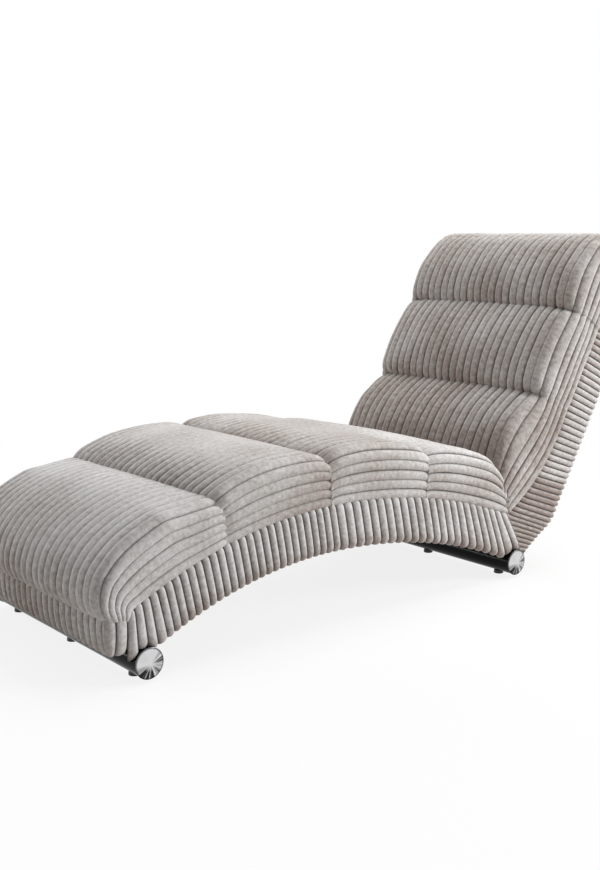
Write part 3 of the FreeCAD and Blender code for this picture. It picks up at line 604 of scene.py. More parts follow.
@dataclass
class Pad:
    """One stitched channel of the upholstery. Places across it are in ribs from the middle.

    Attributes:
        side_dips: Share of the seams' depth that shows on the sides, at the two ends.
        crush: How much the ribs are flattened on top, where the pad is sat on, and on the sides.
        under: Whether its ribs run on under the next piece, at the two ends.
        tone_and_painted_light: Painted light and shade, how much lighter or darker its pile is painted, at
            the two ends.
        side_tone_and_painted_light: Share of that painted light and shade on the sides.
        side_calm: How little the sides follow the swell, at the start, the middle and the end.
        worn: How much the ribs are flattened along the shoulder.
        scallop: How far the ribs swell out past a seam.
        ease: Spread over which its long section is smoothed, in millimetres.
        inset: How far the ground of the ribs lies inside the section.
        slack: How much smaller the pad is made before it is filled.
        waves: Unevenness of the ribs: strength, and turn for each metre along and for each rib.
    """

    name: str
    nodes: tuple[str, ...]
    stations: list[Station]
    tufts: tuple[Tuft, ...] = ()
    side_dips: Pair = (0.04, 0.04)
    crush: Pair = (0.0, 0.0)
    under: tuple[bool, bool] = (False, False)
    tone_and_painted_light: Pair = (0.0, 0.0)
    side_tone_and_painted_light: float = 1.0
    side_calm: Triple = (0.0, 0.0, 0.0)
    worn: float = 0.0
    shoulder: float = 0.024
    seam_rib: float = 11.5
    scallop: float = 0.009
    fill: float = 0.75
    ease: float = 5.0
    dip_ease: float = 4.0
    dip_draw: float = 0.2
    half_width: float = 0.3015
    crown: float = 0.116
    waist: float = 0.008
    drop: float = 0.005
    tuck: float = 0.003
    shoulder_rib: float = 11.5
    seam_lead: float = 1.2
    seam_width: float = 2.2
    side_level: float = 0.123
    calm_rib: float = 10.9
    calm_width: float = 1.7
    worn_rib: float = 11.2
    worn_width: float = 1.1
    crush_lead: float = 0.4
    crush_width: float = 3.4
    crush_start: float = 0.03
    crush_length: float = 0.09
    crush_level: float = 0.9
    crush_pile: float = 0.8
    ribs: float = 16.5
    inset: float = 0.0075
    hang: float = 0.009
    slack: float = 0.0035
    scallop_length: float = 0.016
    side_reach: float = 0.016
    waves: tuple[Triple, ...] = ((0.045, 21.0, 1.7), (0.027, 57.0, 1.0))
    middle_drop: float = 0.05
    coarse_step: float = 0.012
    fine_step: float = 0.0042

    TOP_STEPS = 40
    TURN_STEPS = 24
    CELLS_PER_RIB = 2

    def path(self, line: SideLine) -> Array:
        """Sections at even steps of a millimetre along the crown.

        Args:
            line: The side line.

        Returns:
            Rows of along, lean, height, draw and dip.
        """
        marks = np.array([(s.along, s.lean, s.height, s.draw, s.dip) for s in self.stations])
        run = lengths(self.crown_line(line, marks))
        count = int(run[-1] / MILLIMETRE)
        rows = eased(run, marks, np.linspace(0, run[-1], count))
        dips = softened(rows[:, 4:], self.dip_ease)
        rows = np.concatenate((softened(rows[:, :4], self.ease), dips), axis=1)
        return spread(rows, np.linspace(0, 1, count), lengths(self.crown_line(line, rows)))

    @staticmethod
    def crown_line(line: SideLine, rows: Array) -> Array:
        """Points of the crown, in the middle of the pad.

        Args:
            line: The side line.
            rows: Rows of along, lean, height, draw and dip.

        Returns:
            One point per row.
        """
        points = []
        for along, lean, height, _, dip in rows:
            spot, angle = line.place(along)
            points.append(spot + out(angle + math.radians(lean)) * (height - dip))
        return np.array(points)

    def section(self, height: float, draw: float, ribs: Array) -> tuple[Array, Array]:
        """Outline of one section at given ribs.

        Args:
            height: Height of the crown.
            draw: How far the sides are drawn in.
            ribs: Places across.

        Returns:
            Places across, in metres, and heights above the side line.
        """
        full = min(1.0, height / self.crown)
        half = self.half_width - self.waist * (1 - full) - draw
        drop = self.drop * full
        shoulder = min(self.shoulder, 0.5 * (height - drop))
        wall, flat = height - drop - shoulder, half - shoulder
        turn = np.linspace(0, UPRIGHT, self.TURN_STEPS)[1:]
        top = np.linspace(0, flat, self.TOP_STEPS)
        across = np.concatenate((top, flat + shoulder * np.sin(turn), [half - self.tuck]))
        crown = height - drop * (top / flat) ** 2
        rise = np.concatenate((crown, wall + shoulder * np.cos(turn), [-self.hang]))
        run = lengths(np.stack((across, rise), axis=1))
        bend = run[self.TOP_STEPS + self.TURN_STEPS // 2 - 1]
        spots = np.interp(np.abs(ribs), (0, self.shoulder_rib, self.ribs), (0, bend, run[-1]))
        return np.sign(ribs) * np.interp(spots, run, across), np.interp(spots, run, rise)

    def surface(self, line: SideLine, rows: Array, ribs: Array, slack: float) -> Array:
        """Grid of points over the pad.

        Args:
            line: The side line.
            rows: Rows of along, lean, height, draw and dip.
            ribs: Places across.
            slack: How much smaller the pad is made before it is filled.

        Returns:
            The grid, rows by ribs.
        """
        grid = np.zeros((len(rows), len(ribs), 3))
        shares = np.linspace(0, 1, len(rows))
        calms = np.interp(shares, (0.0, 0.5, 1.0), self.side_calm)
        side = np.clip((np.abs(ribs) - self.calm_rib) / self.calm_width, 0, 1)
        for index, (along, lean, height, draw, dip) in enumerate(rows):
            spot, angle = line.place(along)
            narrow = (self.inset + slack) * min(1.0, height / self.crown)
            level = self.section(height - narrow, draw + narrow, ribs)
            sunk = self.section(height - narrow - dip, draw + narrow + self.dip_draw * dip, ribs)
            steady = self.section(self.side_level - narrow, draw + narrow, ribs)
            share = self.seam_share(ribs, round(shares[index]))
            calm = side * calms[index]
            across, rise = ((low * share + high * (1 - share)) * (1 - calm) + still * calm
                            for low, high, still in zip(sunk, level, steady))
            grid[index] = spot + np.outer(rise, out(angle + math.radians(lean)))
            grid[index, :, 0] = across
        return grid

    def top_share(self, ribs: Array) -> Array:
        """How far each rib lies on top of the pad: 1 on top, 0 on the sides."""
        return 1 - smoothed((np.abs(ribs) - self.seam_rib + self.seam_lead) / self.seam_width)

    def seam_share(self, ribs: Array, end: int) -> Array:
        """Share of a seam's depth at each rib: all of it on top, less on the sides."""
        return self.side_dips[end] + (1 - self.side_dips[end]) * self.top_share(ribs)

    def crushed(self, along: Array, ribs: Array) -> Array:
        """Share of the rib height that is lost: on top past the roll at the start, and on the sides.

        Args:
            along: Distances from the start of the pad.
            ribs: Places across.

        Returns:
            Grid of shares.
        """
        top = smoothed((self.shoulder_rib - self.crush_lead - np.abs(ribs)) / self.crush_width)
        past = smoothed((along - self.crush_start) / self.crush_length)[:, None]
        worn = self.worn * np.exp(-((np.abs(ribs) - self.worn_rib) / self.worn_width) ** 2)
        return past * top * self.crush[0] + (1 - top) * self.crush[1] + worn

    def coarse(self, line: SideLine) -> tuple[Array, Array, Array]:
        """Grid that is filled.

        Args:
            line: The side line.

        Returns:
            The grid, the places of its rows along the pad, and the mask of the held points.
        """
        rows = self.path(line)
        spots = np.linspace(0, len(rows) - 1, int(len(rows) * MILLIMETRE / self.coarse_step) + 1)
        ribs = np.linspace(-self.ribs, self.ribs, round(2 * self.CELLS_PER_RIB * self.ribs) + 1)
        grid = self.surface(line, between(rows, spots), ribs, self.slack)
        held = np.zeros(grid.shape[:2], dtype=bool)
        held[:2] = held[-2:] = True
        held[:, :2] = held[:, -2:] = True
        return grid, spots * MILLIMETRE, held

    def dimpled(self, fine: Array, along: Array, marks: Array, normal: Array) -> Array:
        """Pulls the tufts into the pad.

        Args:
            fine: Grid of points.
            along: Places of its rows.
            marks: Places across.
            normal: Normals of the grid.

        Returns:
            The grid with its dimples.
        """
        inner = unit(fine[:, [0, -1]].mean(axis=1) - fine[:, len(marks) // 2])
        for tuft in self.tufts:
            gap = (along[-1] - along if tuft.at_end else along)[:, None]
            pull = np.exp(-((np.abs(marks) - tuft.rib) / tuft.width) ** 2 - (gap / tuft.length) ** 2)
            low = 1 - self.seam_share(marks, int(tuft.at_end))
            sag = tuft.sag * low * np.exp(-gap / tuft.sag_length)
            fine = fine + inner[:, None] * sag[..., None] - normal * (tuft.depth * pull)[..., None]
        return fine

    def scalloped(self, fine: Array, marks: Array, wales: Wales) -> tuple[Array, Array]:
        """Lets the ribs swell out past the seams.

        Args:
            fine: Grid of points.
            marks: Places across.
            wales: The ribs of the cloth.

        Returns:
            The new grid and each point's distance from the nearest end of its rib.
        """
        steps = np.linalg.norm(np.diff(fine, axis=0), axis=2)
        run = np.concatenate((np.zeros((1, len(marks))), np.cumsum(steps, axis=0)))
        ahead = unit(np.gradient(fine, axis=0))
        swell = wales.relief(marks + self.ribs, np.ones(len(marks))) / wales.height
        reach = np.ones(run.shape)
        for end, (gap, way) in enumerate(((run, -1), (run[-1] - run, 1))):
            if not self.under[end]:
                share = self.seam_share(marks, end)
                reach = np.minimum(reach, gap + self.side_reach * (1 - share))
                bulge = way * self.scallop * swell * share * np.exp(-(gap / self.scallop_length) ** 2)
                fine = fine + ahead * bulge[..., None]
        return fine, reach

    def build(self, grid: Array, places: Array, wales: Wales) -> Piece:
        """Finished pad from its filled grid.

        Args:
            grid: The filled grid.
            places: Places of its rows along the pad.
            wales: The ribs of the cloth.

        Returns:
            The pad.
        """
        along = np.linspace(0, places[-1], int(places[-1] / self.fine_step) + 1)
        marks = wales.places(0, 2 * self.ribs) - self.ribs
        rows = between(grid, along / places[-1] * (len(grid) - 1))
        fine = between(rows.swapaxes(0, 1), (marks + self.ribs) * self.CELLS_PER_RIB).swapaxes(0, 1)
        middle = grid.mean(axis=(0, 1)) - np.array((0, 0, self.middle_drop))
        fine = self.dimpled(fine, along, marks, outward(fine, middle))
        normal = outward(fine, middle)
        fine, reach = self.scalloped(fine, marks, wales)
        uneven = 1 + sum(strength * np.sin(along[:, None] * turn + marks * rib_turn)
                         for strength, turn, rib_turn in self.waves)
        height = wales.relief(marks + self.ribs, reach) * uneven
        lost = self.crushed(along, marks)
        fine = fine + normal * (height * (1 - lost) + self.crush_level * self.inset * lost)[..., None]
        # Pile share, which sets the painted shade in the grooves; crushing makes that shade weaker.
        pile = 1 - (1 - height / wales.height) * (1 - self.crush_pile * lost)
        flat = on_cloth(marks[None] * wales.pitch, along[:, None])
        # Painted light and shade by region, from end to end of the pad, with its share on the sides.
        sides = self.side_tone_and_painted_light + (1 - self.side_tone_and_painted_light) * self.top_share(marks)
        tone_and_painted_light = np.outer(np.linspace(*self.tone_and_painted_light, len(along)), sides)
        return cloth_piece(self.name, fine, uv=flat, pile=pile, tone_and_painted_light=tone_and_painted_light)


@dataclass
class Upholstery:
    """The seven stitched pads that run from the foot to the head.

    Attributes:
        waist_seam: Seam between lumbar and shoulder, from where the back is straight.
        neck_seam: Seam between shoulder and head, from there too.
        hem_steps: Sections of a rolled seam: distance past it, rise and share of its depth.
    """

    line: SideLine
    wales: Wales = Wales()
    filling: Inflation = Inflation()
    foot_seam: float = -0.290
    knee_seam: float = -0.013
    thigh_seam: float = 0.275
    waist_seam: float = 0.061
    neck_seam: float = 0.294
    seat_heights: Triple = (0.099, 0.120, 0.104)
    thigh_heights: Triple = (0.099, 0.120, 0.113)
    back_heights: Triple = (0.129, 0.144, 0.117)
    foot_lean: float = -12.0
    knee_lean: float = 3.0
    thigh_lean: float = 7.0
    fold_lean: float = 18.0
    seam_gap: float = -0.0008
    under_depth: float = 0.005
    hem_steps: tuple[Triple, ...] = ((0.0, 0.0, 1.0), (0.0008, 0.0, 0.45), (0.006, 0.001, 0.10))
    swell_parts: tuple[float, ...] = (0.08, 0.17, 0.28, 0.4, 0.5, 0.6, 0.72, 0.83, 0.92)
    swell_power: float = 0.6

    def hem(self, seam: float, height: float, way: int, lean: float = 0.0, draw: float = 0.0,
            depth: float = SEAM_DEPTH) -> list[Station]:
        """Sections that roll a pad down into its seam.

        Args:
            seam: Place of the seam.
            height: Height of the pad at the seam.
            way: 1 where the pad starts at the seam, -1 where it ends there.
            lean: Turn of the sections.
            draw: How far the sides are drawn in.
            depth: How deep the pad rolls down.

        Returns:
            Sections from the depth of the seam outwards if the pad starts there, else the other way round.
        """
        rows = [Station(seam + way * (self.seam_gap + past), lean, height + rise, draw, share * depth)
                for past, rise, share in self.hem_steps]
        return rows[::way]

    def channel(self, seams: Pair, heights: Triple, peak: float, leans: Pair = (0.0, 0.0), under: int = 0,
                depth: float = SEAM_DEPTH, draw: float = SEAM_DRAW) -> list[Station]:
        """Sections of a plain channel between two seams.

        Args:
            seams: Seams at the foot end and at the head end.
            heights: Heights at the first seam, at the peak and at the second seam.
            peak: Place of the peak, as a share of the length.
            leans: Turn of the two seams.
            under: Which end, 0 or 1, runs on under the next pad.
            depth: How deep the other end rolls down.
            draw: How far the sides are drawn in at the first seam.

        Returns:
            The sections.
        """
        start, stop = seams
        depths = [depth, depth]
        depths[under] = self.under_depth
        rows = self.hem(start, heights[0], 1, leans[0], draw, depths[0])
        for part in self.swell_parts:
            low, rise = (heights[0], part / peak) if part < peak else (heights[2], (1 - part) / (1 - peak))
            swell = math.sin(UPRIGHT * rise) ** self.swell_power
            lean = leans[0] * (1 - part) ** 3 + leans[1] * part ** 3
            rows.append(Station(start + (stop - start) * part, lean, low + (heights[1] - low) * swell))
        return rows + self.hem(stop, heights[2], -1, leans[1], SEAM_DRAW, depths[1])

    def foot(self) -> list[Station]:
        """Sections of the foot pad.

        Returns:
            The sections, from its lower front edge.
        """
        start, seam, lean = self.line.start, self.foot_seam, self.foot_lean
        nose = self.line.front - start
        _, crown, end = self.seat_heights
        shape = (
            (start + nose, -10, 0.040, 0.004), (start + 0.86 * nose, -3, 0.050),
            (start + 0.64 * nose, 0, 0.066), (start + 0.36 * nose, 0, 0.083), (start, 0, 0.101),
            (start + 0.060, 0, 0.119), (start + 0.120, 0, crown + 0.002),
            (seam - 0.070, 0.2 * lean, 0.110), (seam - 0.030, 0.6 * lean, 0.100))
        return [Station(*row) for row in shape] + self.hem(seam, end - 0.010, -1, lean, SEAM_DRAW)

    def seat(self) -> list[Station]:
        """Sections of the seat pad.

        Returns:
            The sections, from its seam down into the crease.
        """
        seam, crease, crown = self.thigh_seam, self.line.crease, self.seat_heights[1]
        tilt = math.degrees(self.line.crease_angle) + self.fold_lean
        rows = self.hem(seam, self.thigh_heights[2] - 0.006, 1, self.thigh_lean, SEAM_DRAW, self.under_depth)
        shape = (
            (seam + 0.030, 0.1, 0.114), (seam + 0.070, 0.05, 0.119), (seam + 0.110, 0.05, crown + 0.001),
            (crease - 0.130, 0.1, crown + 0.001), (crease - 0.085, 0.32, 0.121),
            (crease - 0.045, 0.62, 0.121), (crease - 0.018, 0.86, 0.119),
            (crease - 0.002, 1.0, 0.117), (crease - 0.001, 1.0, 0.030))
        return rows + [Station(along, share * tilt, height) for along, share, height in shape]

    def lumbar(self) -> list[Station]:
        """Sections of the lumbar pad, whose face runs on straight below the back's line into the crease.

        Returns:
            The sections, from the crease.
        """
        line, seam = self.line, self.line.straight + self.waist_seam
        lean = self.fold_lean - math.degrees(line.bend_start)
        rows = [Station(line.crease + 0.003, lean, 0.030, 0.006)]
        faces = ((0.004, 0.142), (0.030, 0.154), (0.060, 0.161), (0.105, 0.166), (0.150, 0.166),
                 (0.190, 0.163), (0.225, 0.156), (0.255, 0.147), (0.282, 0.134))
        for along, face in faces:
            left = max(0.0, line.lean - line.bend_start - along / line.bend_radius)
            turn = lean * left / (line.lean - line.bend_start)
            short = line.bend_radius * (1 - math.cos(left))
            height = (face - short) / math.cos(left - math.radians(turn))
            rows.append(Station(line.crease + along, turn, height))
        return rows + self.hem(seam, self.back_heights[2], -1, 0.0, SEAM_DRAW, self.under_depth)

    def head(self) -> list[Station]:
        """Sections of the head pad.

        Returns:
            The sections, from its seam over the top of the back.
        """
        line, seam = self.line, self.line.straight + self.neck_seam
        start, crown, _ = self.back_heights
        top, quarter = line.top, line.quarter
        behind = top + quarter + line.flat
        shape = (
            (seam + 0.026, 0.4 * start + 0.6 * crown), (seam + 0.080, crown), (top - 0.050, 0.131),
            (top, 0.106), (top + 0.3 * quarter, 0.060), (top + 0.62 * quarter, 0.039), (top + quarter, 0.031),
            (behind, 0.031), (behind + 0.5 * quarter, 0.024))
        rows = [Station(along, 0, height) for along, height in shape]
        return self.hem(seam, start, 1) + rows + [Station(line.rear, 0, 0.011, 0.004)]

    def pads(self) -> list[Pad]:
        """The pads.

        Returns:
            The seven pads, from the foot to the head.
        """
        waist, neck = self.line.straight + self.waist_seam, self.line.straight + self.neck_seam
        calf = self.channel((self.foot_seam, self.knee_seam), self.seat_heights, 0.45, (0.0, self.knee_lean),
                            draw=2 * SEAM_DRAW)
        thigh = self.channel((self.knee_seam, self.thigh_seam), self.thigh_heights, 0.45,
                             (self.knee_lean, self.thigh_lean), depth=0.5 * SEAM_DEPTH)
        shoulder = self.channel((waist, neck), self.back_heights, 0.4, under=1)
        seat_start, seat_end = Tuft(False), Tuft(True)
        back_start, back_end = (Tuft(at_end, rib=10.3, sag=0.001) for at_end in (False, True))
        tucked = {"under": (True, False)}
        plump = {"shoulder": 0.042, "seam_rib": 11.1, "scallop": 0.012, "worn": 0.45}
        # Each pad gets painted light and shade by region, given at its two ends.
        return [
            Pad("foot_cushion", ("foot_pad",), self.foot(), (), (1.0, 1.0), (0.65, 0.42),
                tone_and_painted_light=(0.18, 0.12), **tucked),
            Pad("calf_cushion", ("calf_pad",), calf, (seat_end,), (0.5, 0.04), (0.9, 0.45),
                tone_and_painted_light=(0.06, -0.30), **tucked),
            Pad("thigh_cushion", ("thigh_pad",), thigh, (seat_start, seat_end), crush=(0.9, 0.3),
                tone_and_painted_light=(-0.22, -0.42), side_tone_and_painted_light=0.0, **tucked),
            Pad("seat_cushion", ("seat_pad", "seat_foam"), self.seat(), (seat_start,), crush=(0.85, 0.2),
                under=(True, True), tone_and_painted_light=(0.0, 0.04)),
            Pad("lumbar_cushion", ("lumbar_pad", "back_foam"), self.lumbar(), (back_end,),
                under=(True, True), tone_and_painted_light=(-0.24, -0.18), side_calm=(0.0, 0.45, 1.0), **plump),
            Pad("shoulder_cushion", ("shoulder_pad",), shoulder, (back_start, back_end),
                under=(False, True), side_calm=(1.0, 0.7, 1.0), **plump),
            Pad("head_cushion", ("head_pad",), self.head(), (back_start,), (0.04, 1.0),
                tone_and_painted_light=(0.08, -0.45), side_calm=(1.0, 0.0, 0.0), **plump),
        ]

    def build(self, material: Material) -> list[Piece]:
        """Fills the pads and dresses them.

        Args:
            material: The corduroy.

        Returns:
            The seven pads.
        """
        pads = self.pads()
        grids = [pad.coarse(self.line) for pad in pads]
        filled = [grid for grid, _, _ in grids]
        filled = self.filling.run([(pad.name, grid, held) for pad, (grid, _, held) in zip(pads, grids)])
        pieces = []
        for pad, points, (start, places, _) in zip(pads, filled, grids):
            swell = np.linalg.norm(points - start, axis=2).max()
            LOG.info("%s swells by %.1f mm at most", pad.name, swell / MILLIMETRE)
            piece = place_piece(pad.build(points, places, self.wales), material, pad.nodes)
            pieces.append(piece)
        return pieces


@dataclass
class Borders:
    """Upholstered strips on the sides, the front band and the panel behind the back.

    Attributes:
        strip_profile: Share from a strip's upper to its lower edge, and distance from face_x.
        lean_shares: Places along the seat strip, as shares, at which its ribs' lean is given.
        leans: How far the ribs lean back there, but for the last place, which the heel gives.
        rear_lag: How far the back strip's ribs lag at its rear edge, as a share of its length.
        blunt: How much blunter the ribs end at the lower edge.
        band_upper: Inset and height from the upper edge, round the band's section.
        band_lower: Inset and height from the lower edge.
        panel_rows: First and last point of the outer outline that the panel covers.
    """

    line: SideLine
    inner_x: float = 0.2765
    face_x: float = 0.2885
    strip_width: float = 0.105
    strip_profile: tuple[Pair, ...] = (
        (0.0, -0.012), (0.004, -0.005), (0.02, -0.004), (0.06, -0.0008), (0.12, 0.0), (0.5, 0.0008),
        (0.86, 0.0), (0.93, -0.0012), (0.975, -0.005), (0.997, -0.010), (1.0, -0.012))
    strip_steps: int = 40
    fore_ribs: int = 29
    aft_ribs: int = 24
    back_ribs: int = 53
    top_drop: float = 0.010
    sole_inset: float = -0.0015
    lean_shares: tuple[float, ...] = (0.0, 0.07, 0.5, 0.85, 1.0)
    leans: tuple[float, ...] = (0.0, 0.022, 0.016, 0.026)
    rear_inset: float = 0.009
    rear_lag: float = 0.035
    corner_share: float = 0.9
    tube_clearance: float = 0.0335
    tuck_ribs: float = 0.35
    tuck_share: float = 0.25
    blunt: float = 2.2
    # The back strips are darker over their lowest ribs, near the heel.
    dark_ribs: float = 16.0
    heel_darkening: float = -0.50
    # Painted light: the seat strips are painted lighter all over.
    strip_painted_light: float = 0.18
    # Painted shade: the seat strips turn darker towards their lower edge, where they curve under.
    hem_painted_shade: float = -0.42
    hem_start: float = 0.66
    hem_width: float = 0.3
    band_front: float = -0.8225
    band_top: float = 0.140
    band_round: float = 0.014
    band_lift: float = 0.022
    band_lap: float = 0.004
    # Painted light: the front band is painted a little lighter.
    band_painted_light: float = 0.04
    band_upper: tuple[Pair, ...] = ((0.014, -0.002), (0.006, 0.0), (0.0022, -0.006), (0.0, -0.022))
    band_lower: tuple[Pair, ...] = (
        (0.0006, 0.034), (0.0030, 0.016), (0.0062, 0.005), (0.0105, 0.0), (0.018, 0.0005))
    band_steps: int = 36
    corner_steps: int = 14
    band_middle: Pair = (0.05, 0.09)
    panel_half: float = 0.2725
    panel_inset: float = 0.0045
    panel_rows: tuple[int, int] = (60, -3)
    panel_steps: int = 150
    panel_edge: float = 0.012
    panel_sink: float = 0.006
    panel_depth: float = 0.007
    panel_back: float = 0.99
    middle_depth: float = 0.05
    fill: float = 0.35
    side_wales: Wales = Wales(pitch=0.020, height=0.0095, shallow=1.0, end_round=0.012)
    band_wales: Wales = Wales(height=0.0080, shallow=0.8, end_round=0.012)

    def profile(self) -> Array:
        """Outer face of a side strip.

        Returns:
            Rows of the share from the upper to the lower edge, and X.
        """
        rows = np.array(self.strip_profile) + (0.0, self.face_x)
        run = lengths(rows * (self.strip_width, 1.0))
        return eased(run, rows, np.linspace(0, run[-1], self.strip_steps))

    def seat_edges(self, marks: Array) -> tuple[Array, Array]:
        """Upper and lower edge of the seat strip.

        Args:
            marks: Places along it, in ribs.

        Returns:
            Points of the upper and of the lower edge.
        """
        line = self.line
        start = -math.asin((line.crest[1] - line.foot_y) / line.fore_radius) * line.fore_radius
        ribs = (0, self.fore_ribs, self.fore_ribs + self.aft_ribs)
        along = np.interp(marks, ribs, (start, 0.0, line.crease))
        spots = [line.place(spot) for spot in np.maximum(along, start)]
        upper = np.array([spot - out(angle) * self.top_drop for spot, angle in spots])
        upper[:, 1] = np.maximum(upper[:, 1], line.foot_y)
        lower = upper.copy()
        leans = (*self.leans, line.heel_y - line.crease_y)
        lower[:, 1] += np.interp(marks / marks[-1], self.lean_shares, leans)
        for spot in lower:
            level = line.sole_z + self.sole_inset
            if line.foot_y < spot[1]:
                level = max(level, line.arch_z(spot[1], line.seat_depth - self.sole_inset))
            for _, tube_y in TUBES:
                away = abs(spot[1] - tube_y)
                if away < self.tube_clearance:
                    level = max(level, TUBE_Z + math.sqrt(self.tube_clearance ** 2 - away ** 2))
            spot[2] = level
        return upper, lower

    def back_edges(self, marks: Array) -> tuple[Array, Array]:
        """Front and rear edge of the back strip, from the heel up.

        Args:
            marks: Places along it, in ribs.

        Returns:
            Points of the front and of the rear edge.
        """
        line = self.line
        heel = np.array(((0.0, line.heel_y, line.sole_z),))
        turn = self.corner_share * line.quarter
        front = np.concatenate((heel, line.run(line.crease, line.top + turn, -self.top_drop)))
        corner = line.run(line.rear - turn, line.rear)[::-1]
        rear = np.concatenate((line.outer_back(self.rear_inset), corner))
        share = marks / marks[-1]
        edges = spread(front, share), spread(rear, share - self.rear_lag * np.sin(math.pi * share) ** 0.6)
        for spot in (spot for edge in edges for spot in edge):
            for _, tube_y in TUBES:
                axis = np.array((tube_y, TUBE_Z))
                away = math.hypot(*(spot[1:] - axis))
                if away < self.tube_clearance:
                    spot[1:] = axis + (spot[1:] - axis) * self.tube_clearance / away
        return edges

    def strip(self, name: str, side: Side, marks: Array, edges: tuple[Array, Array], tone_and_painted_light: Array) -> Piece:
        """Side strip between two edges.

        Args:
            name: Name of the piece.
            side: Side of the body.
            marks: Places along the strip, in ribs.
            edges: Its upper and its lower edge.
            tone_and_painted_light: How much lighter or darker the pile is painted at each place: painted
                light and shade, and on the back strips a plain darker tone near the heel.

        Returns:
            The strip.
        """
        profile = self.profile()
        share = profile[None, :, :1]
        points = edges[0][:, None] * (1 - share) + edges[1][:, None] * share
        tuck = rounded(np.minimum(marks, marks[-1] - marks)[:, None] / self.tuck_ribs)
        thick = self.tuck_share + (1 - self.tuck_share) * tuck
        points[..., 0] = self.inner_x + (profile[None, :, 1] - self.inner_x) * thick
        normal = outward(points, points.mean(axis=(0, 1)) - np.array((self.middle_depth, 0, 0)))
        run = lengths(profile * (self.strip_width, 1.0))
        reach = np.minimum(run, self.blunt * (run[-1] - run))[None]
        height = self.side_wales.relief(marks[:, None], reach)
        points = points + normal * height[..., None]
        points[..., 0] *= side.value
        flat = on_cloth(marks[:, None] * self.side_wales.pitch, run[None])
        return cloth_piece(name, points, uv=flat, pile=height / self.side_wales.height, tone_and_painted_light=tone_and_painted_light)

    def band(self) -> Piece:
        """Front band below the foot pad, round both front corners.

        Returns:
            The band.
        """
        line, turn, half = self.line, self.band_round, self.face_x
        corner = [(half - turn + turn * math.cos(angle), self.band_front + turn - turn * math.sin(angle))
                  for angle in np.linspace(0, UPRIGHT, self.corner_steps)]
        left = [(half, line.foot_y + self.band_lap), *corner]
        plan = np.array(left + [(-across, along) for across, along in left[::-1]])
        count = 2 * round(lengths(plan)[-1] / self.band_wales.pitch / 2) + 1
        marks = self.band_wales.places(0, count) - count / 2
        spots = spread(plan, (marks + count / 2) / count)
        low, high = line.sole_z + self.band_lift, self.band_top
        rise = np.array([(inset, high + height) for inset, height in self.band_upper]
                        + [(inset, low + height) for inset, height in self.band_lower])
        track = lengths(rise)
        rise = eased(track, rise, np.linspace(0, track[-1], self.band_steps))
        middle = np.array((0.0, line.foot_y + self.band_middle[0], self.band_middle[1]))
        ahead = unit(np.gradient(spots, axis=0))
        inward = np.stack((ahead[:, 1], -ahead[:, 0]), axis=1)
        inward *= np.sign(np.sum(inward * (middle[:2] - spots), axis=1, keepdims=True))
        points = np.zeros((len(spots), len(rise), 3))
        points[..., :2] = spots[:, None] + inward[:, None] * rise[None, :, :1]
        points[..., 2] = rise[None, :, 1]
        track = lengths(rise)
        height = self.band_wales.relief(marks[:, None] + 0.5, (track[-1] - track)[None])
        points = points + outward(points, middle) * height[..., None]
        flat = on_cloth(marks[:, None] * self.band_wales.pitch, track[None])
        pile = height / self.band_wales.height
        return cloth_piece("front_band", points, uv=flat, pile=pile, tone_and_painted_light=self.band_painted_light)

    def panel(self) -> Piece:
        """Panel behind the back, from the heel to below the head pad.

        Returns:
            The panel.
        """
        outer = self.line.outer_back(self.panel_inset)[slice(*self.panel_rows)]
        half = int(2 * self.panel_half / self.band_wales.pitch) / 2
        marks = self.band_wales.places(-half, half)
        rows = spread(outer, np.linspace(0, 1, self.panel_steps))
        run = lengths(rows)
        across = marks / half * self.panel_half
        sink = self.panel_sink * (1 - rounded((self.panel_half - np.abs(across)) / self.panel_edge))
        inward = leftward(unit(np.gradient(rows, axis=0)))[:, None]
        height = self.band_wales.relief(marks[None], np.minimum(run, run[-1] - run)[:, None])
        points = rows[:, None] + inward * (sink - height)[..., None]
        points[..., 0] = across
        back = np.repeat(rows[:, None] + inward * self.panel_depth, 2, axis=1)
        back[..., 0] = np.array((-self.panel_half, self.panel_half)) * self.panel_back
        points = np.concatenate((back[:, :1], points, back[:, 1:]), axis=1)
        flat = on_cloth(np.pad(marks, 1, mode="edge")[None] * self.band_wales.pitch, run[:, None])
        pile = np.pad(height, ((0, 0), (1, 1))) / self.band_wales.height
        return cloth_piece("outer_back", points, uv=flat, pile=pile)

    def build(self, material: Material) -> list[Piece]:
        """Makes and dresses the strips, the band and the panel.

        Args:
            material: The corduroy.

        Returns:
            The six pieces.
        """
        seat_marks = self.side_wales.places(0, self.fore_ribs + self.aft_ribs)
        back_marks = self.side_wales.places(0, self.back_ribs)
        # Painted shade towards the lower edge of the seat strips.
        hem = np.clip((self.profile()[None, :, 0] - self.hem_start) / self.hem_width, 0, 1)
        # Darker over the back strips' lowest ribs, near the heel.
        dark = np.clip(self.dark_ribs + 0.5 - back_marks, 0, 1)[:, None]
        strips = (
            ("seat", seat_marks, self.seat_edges(seat_marks), self.strip_painted_light + self.hem_painted_shade * hem),
            ("back", back_marks, self.back_edges(back_marks), self.heel_darkening * dark),
        )
        pieces = []
        for side in Side:
            for part, marks, edges, tone_and_painted_light in strips:
                name = f"{side.name.lower()}_{part}"
                strip = self.strip(name + "_side", side, marks, edges, tone_and_painted_light)
                pieces.append(place_piece(strip, material, (name + "_border",)))
        pieces.append(place_piece(self.band(), material, ("foot_border",)))
        pieces.append(place_piece(self.panel(), material, ("back_panel",)))
        return [piece for piece in pieces]


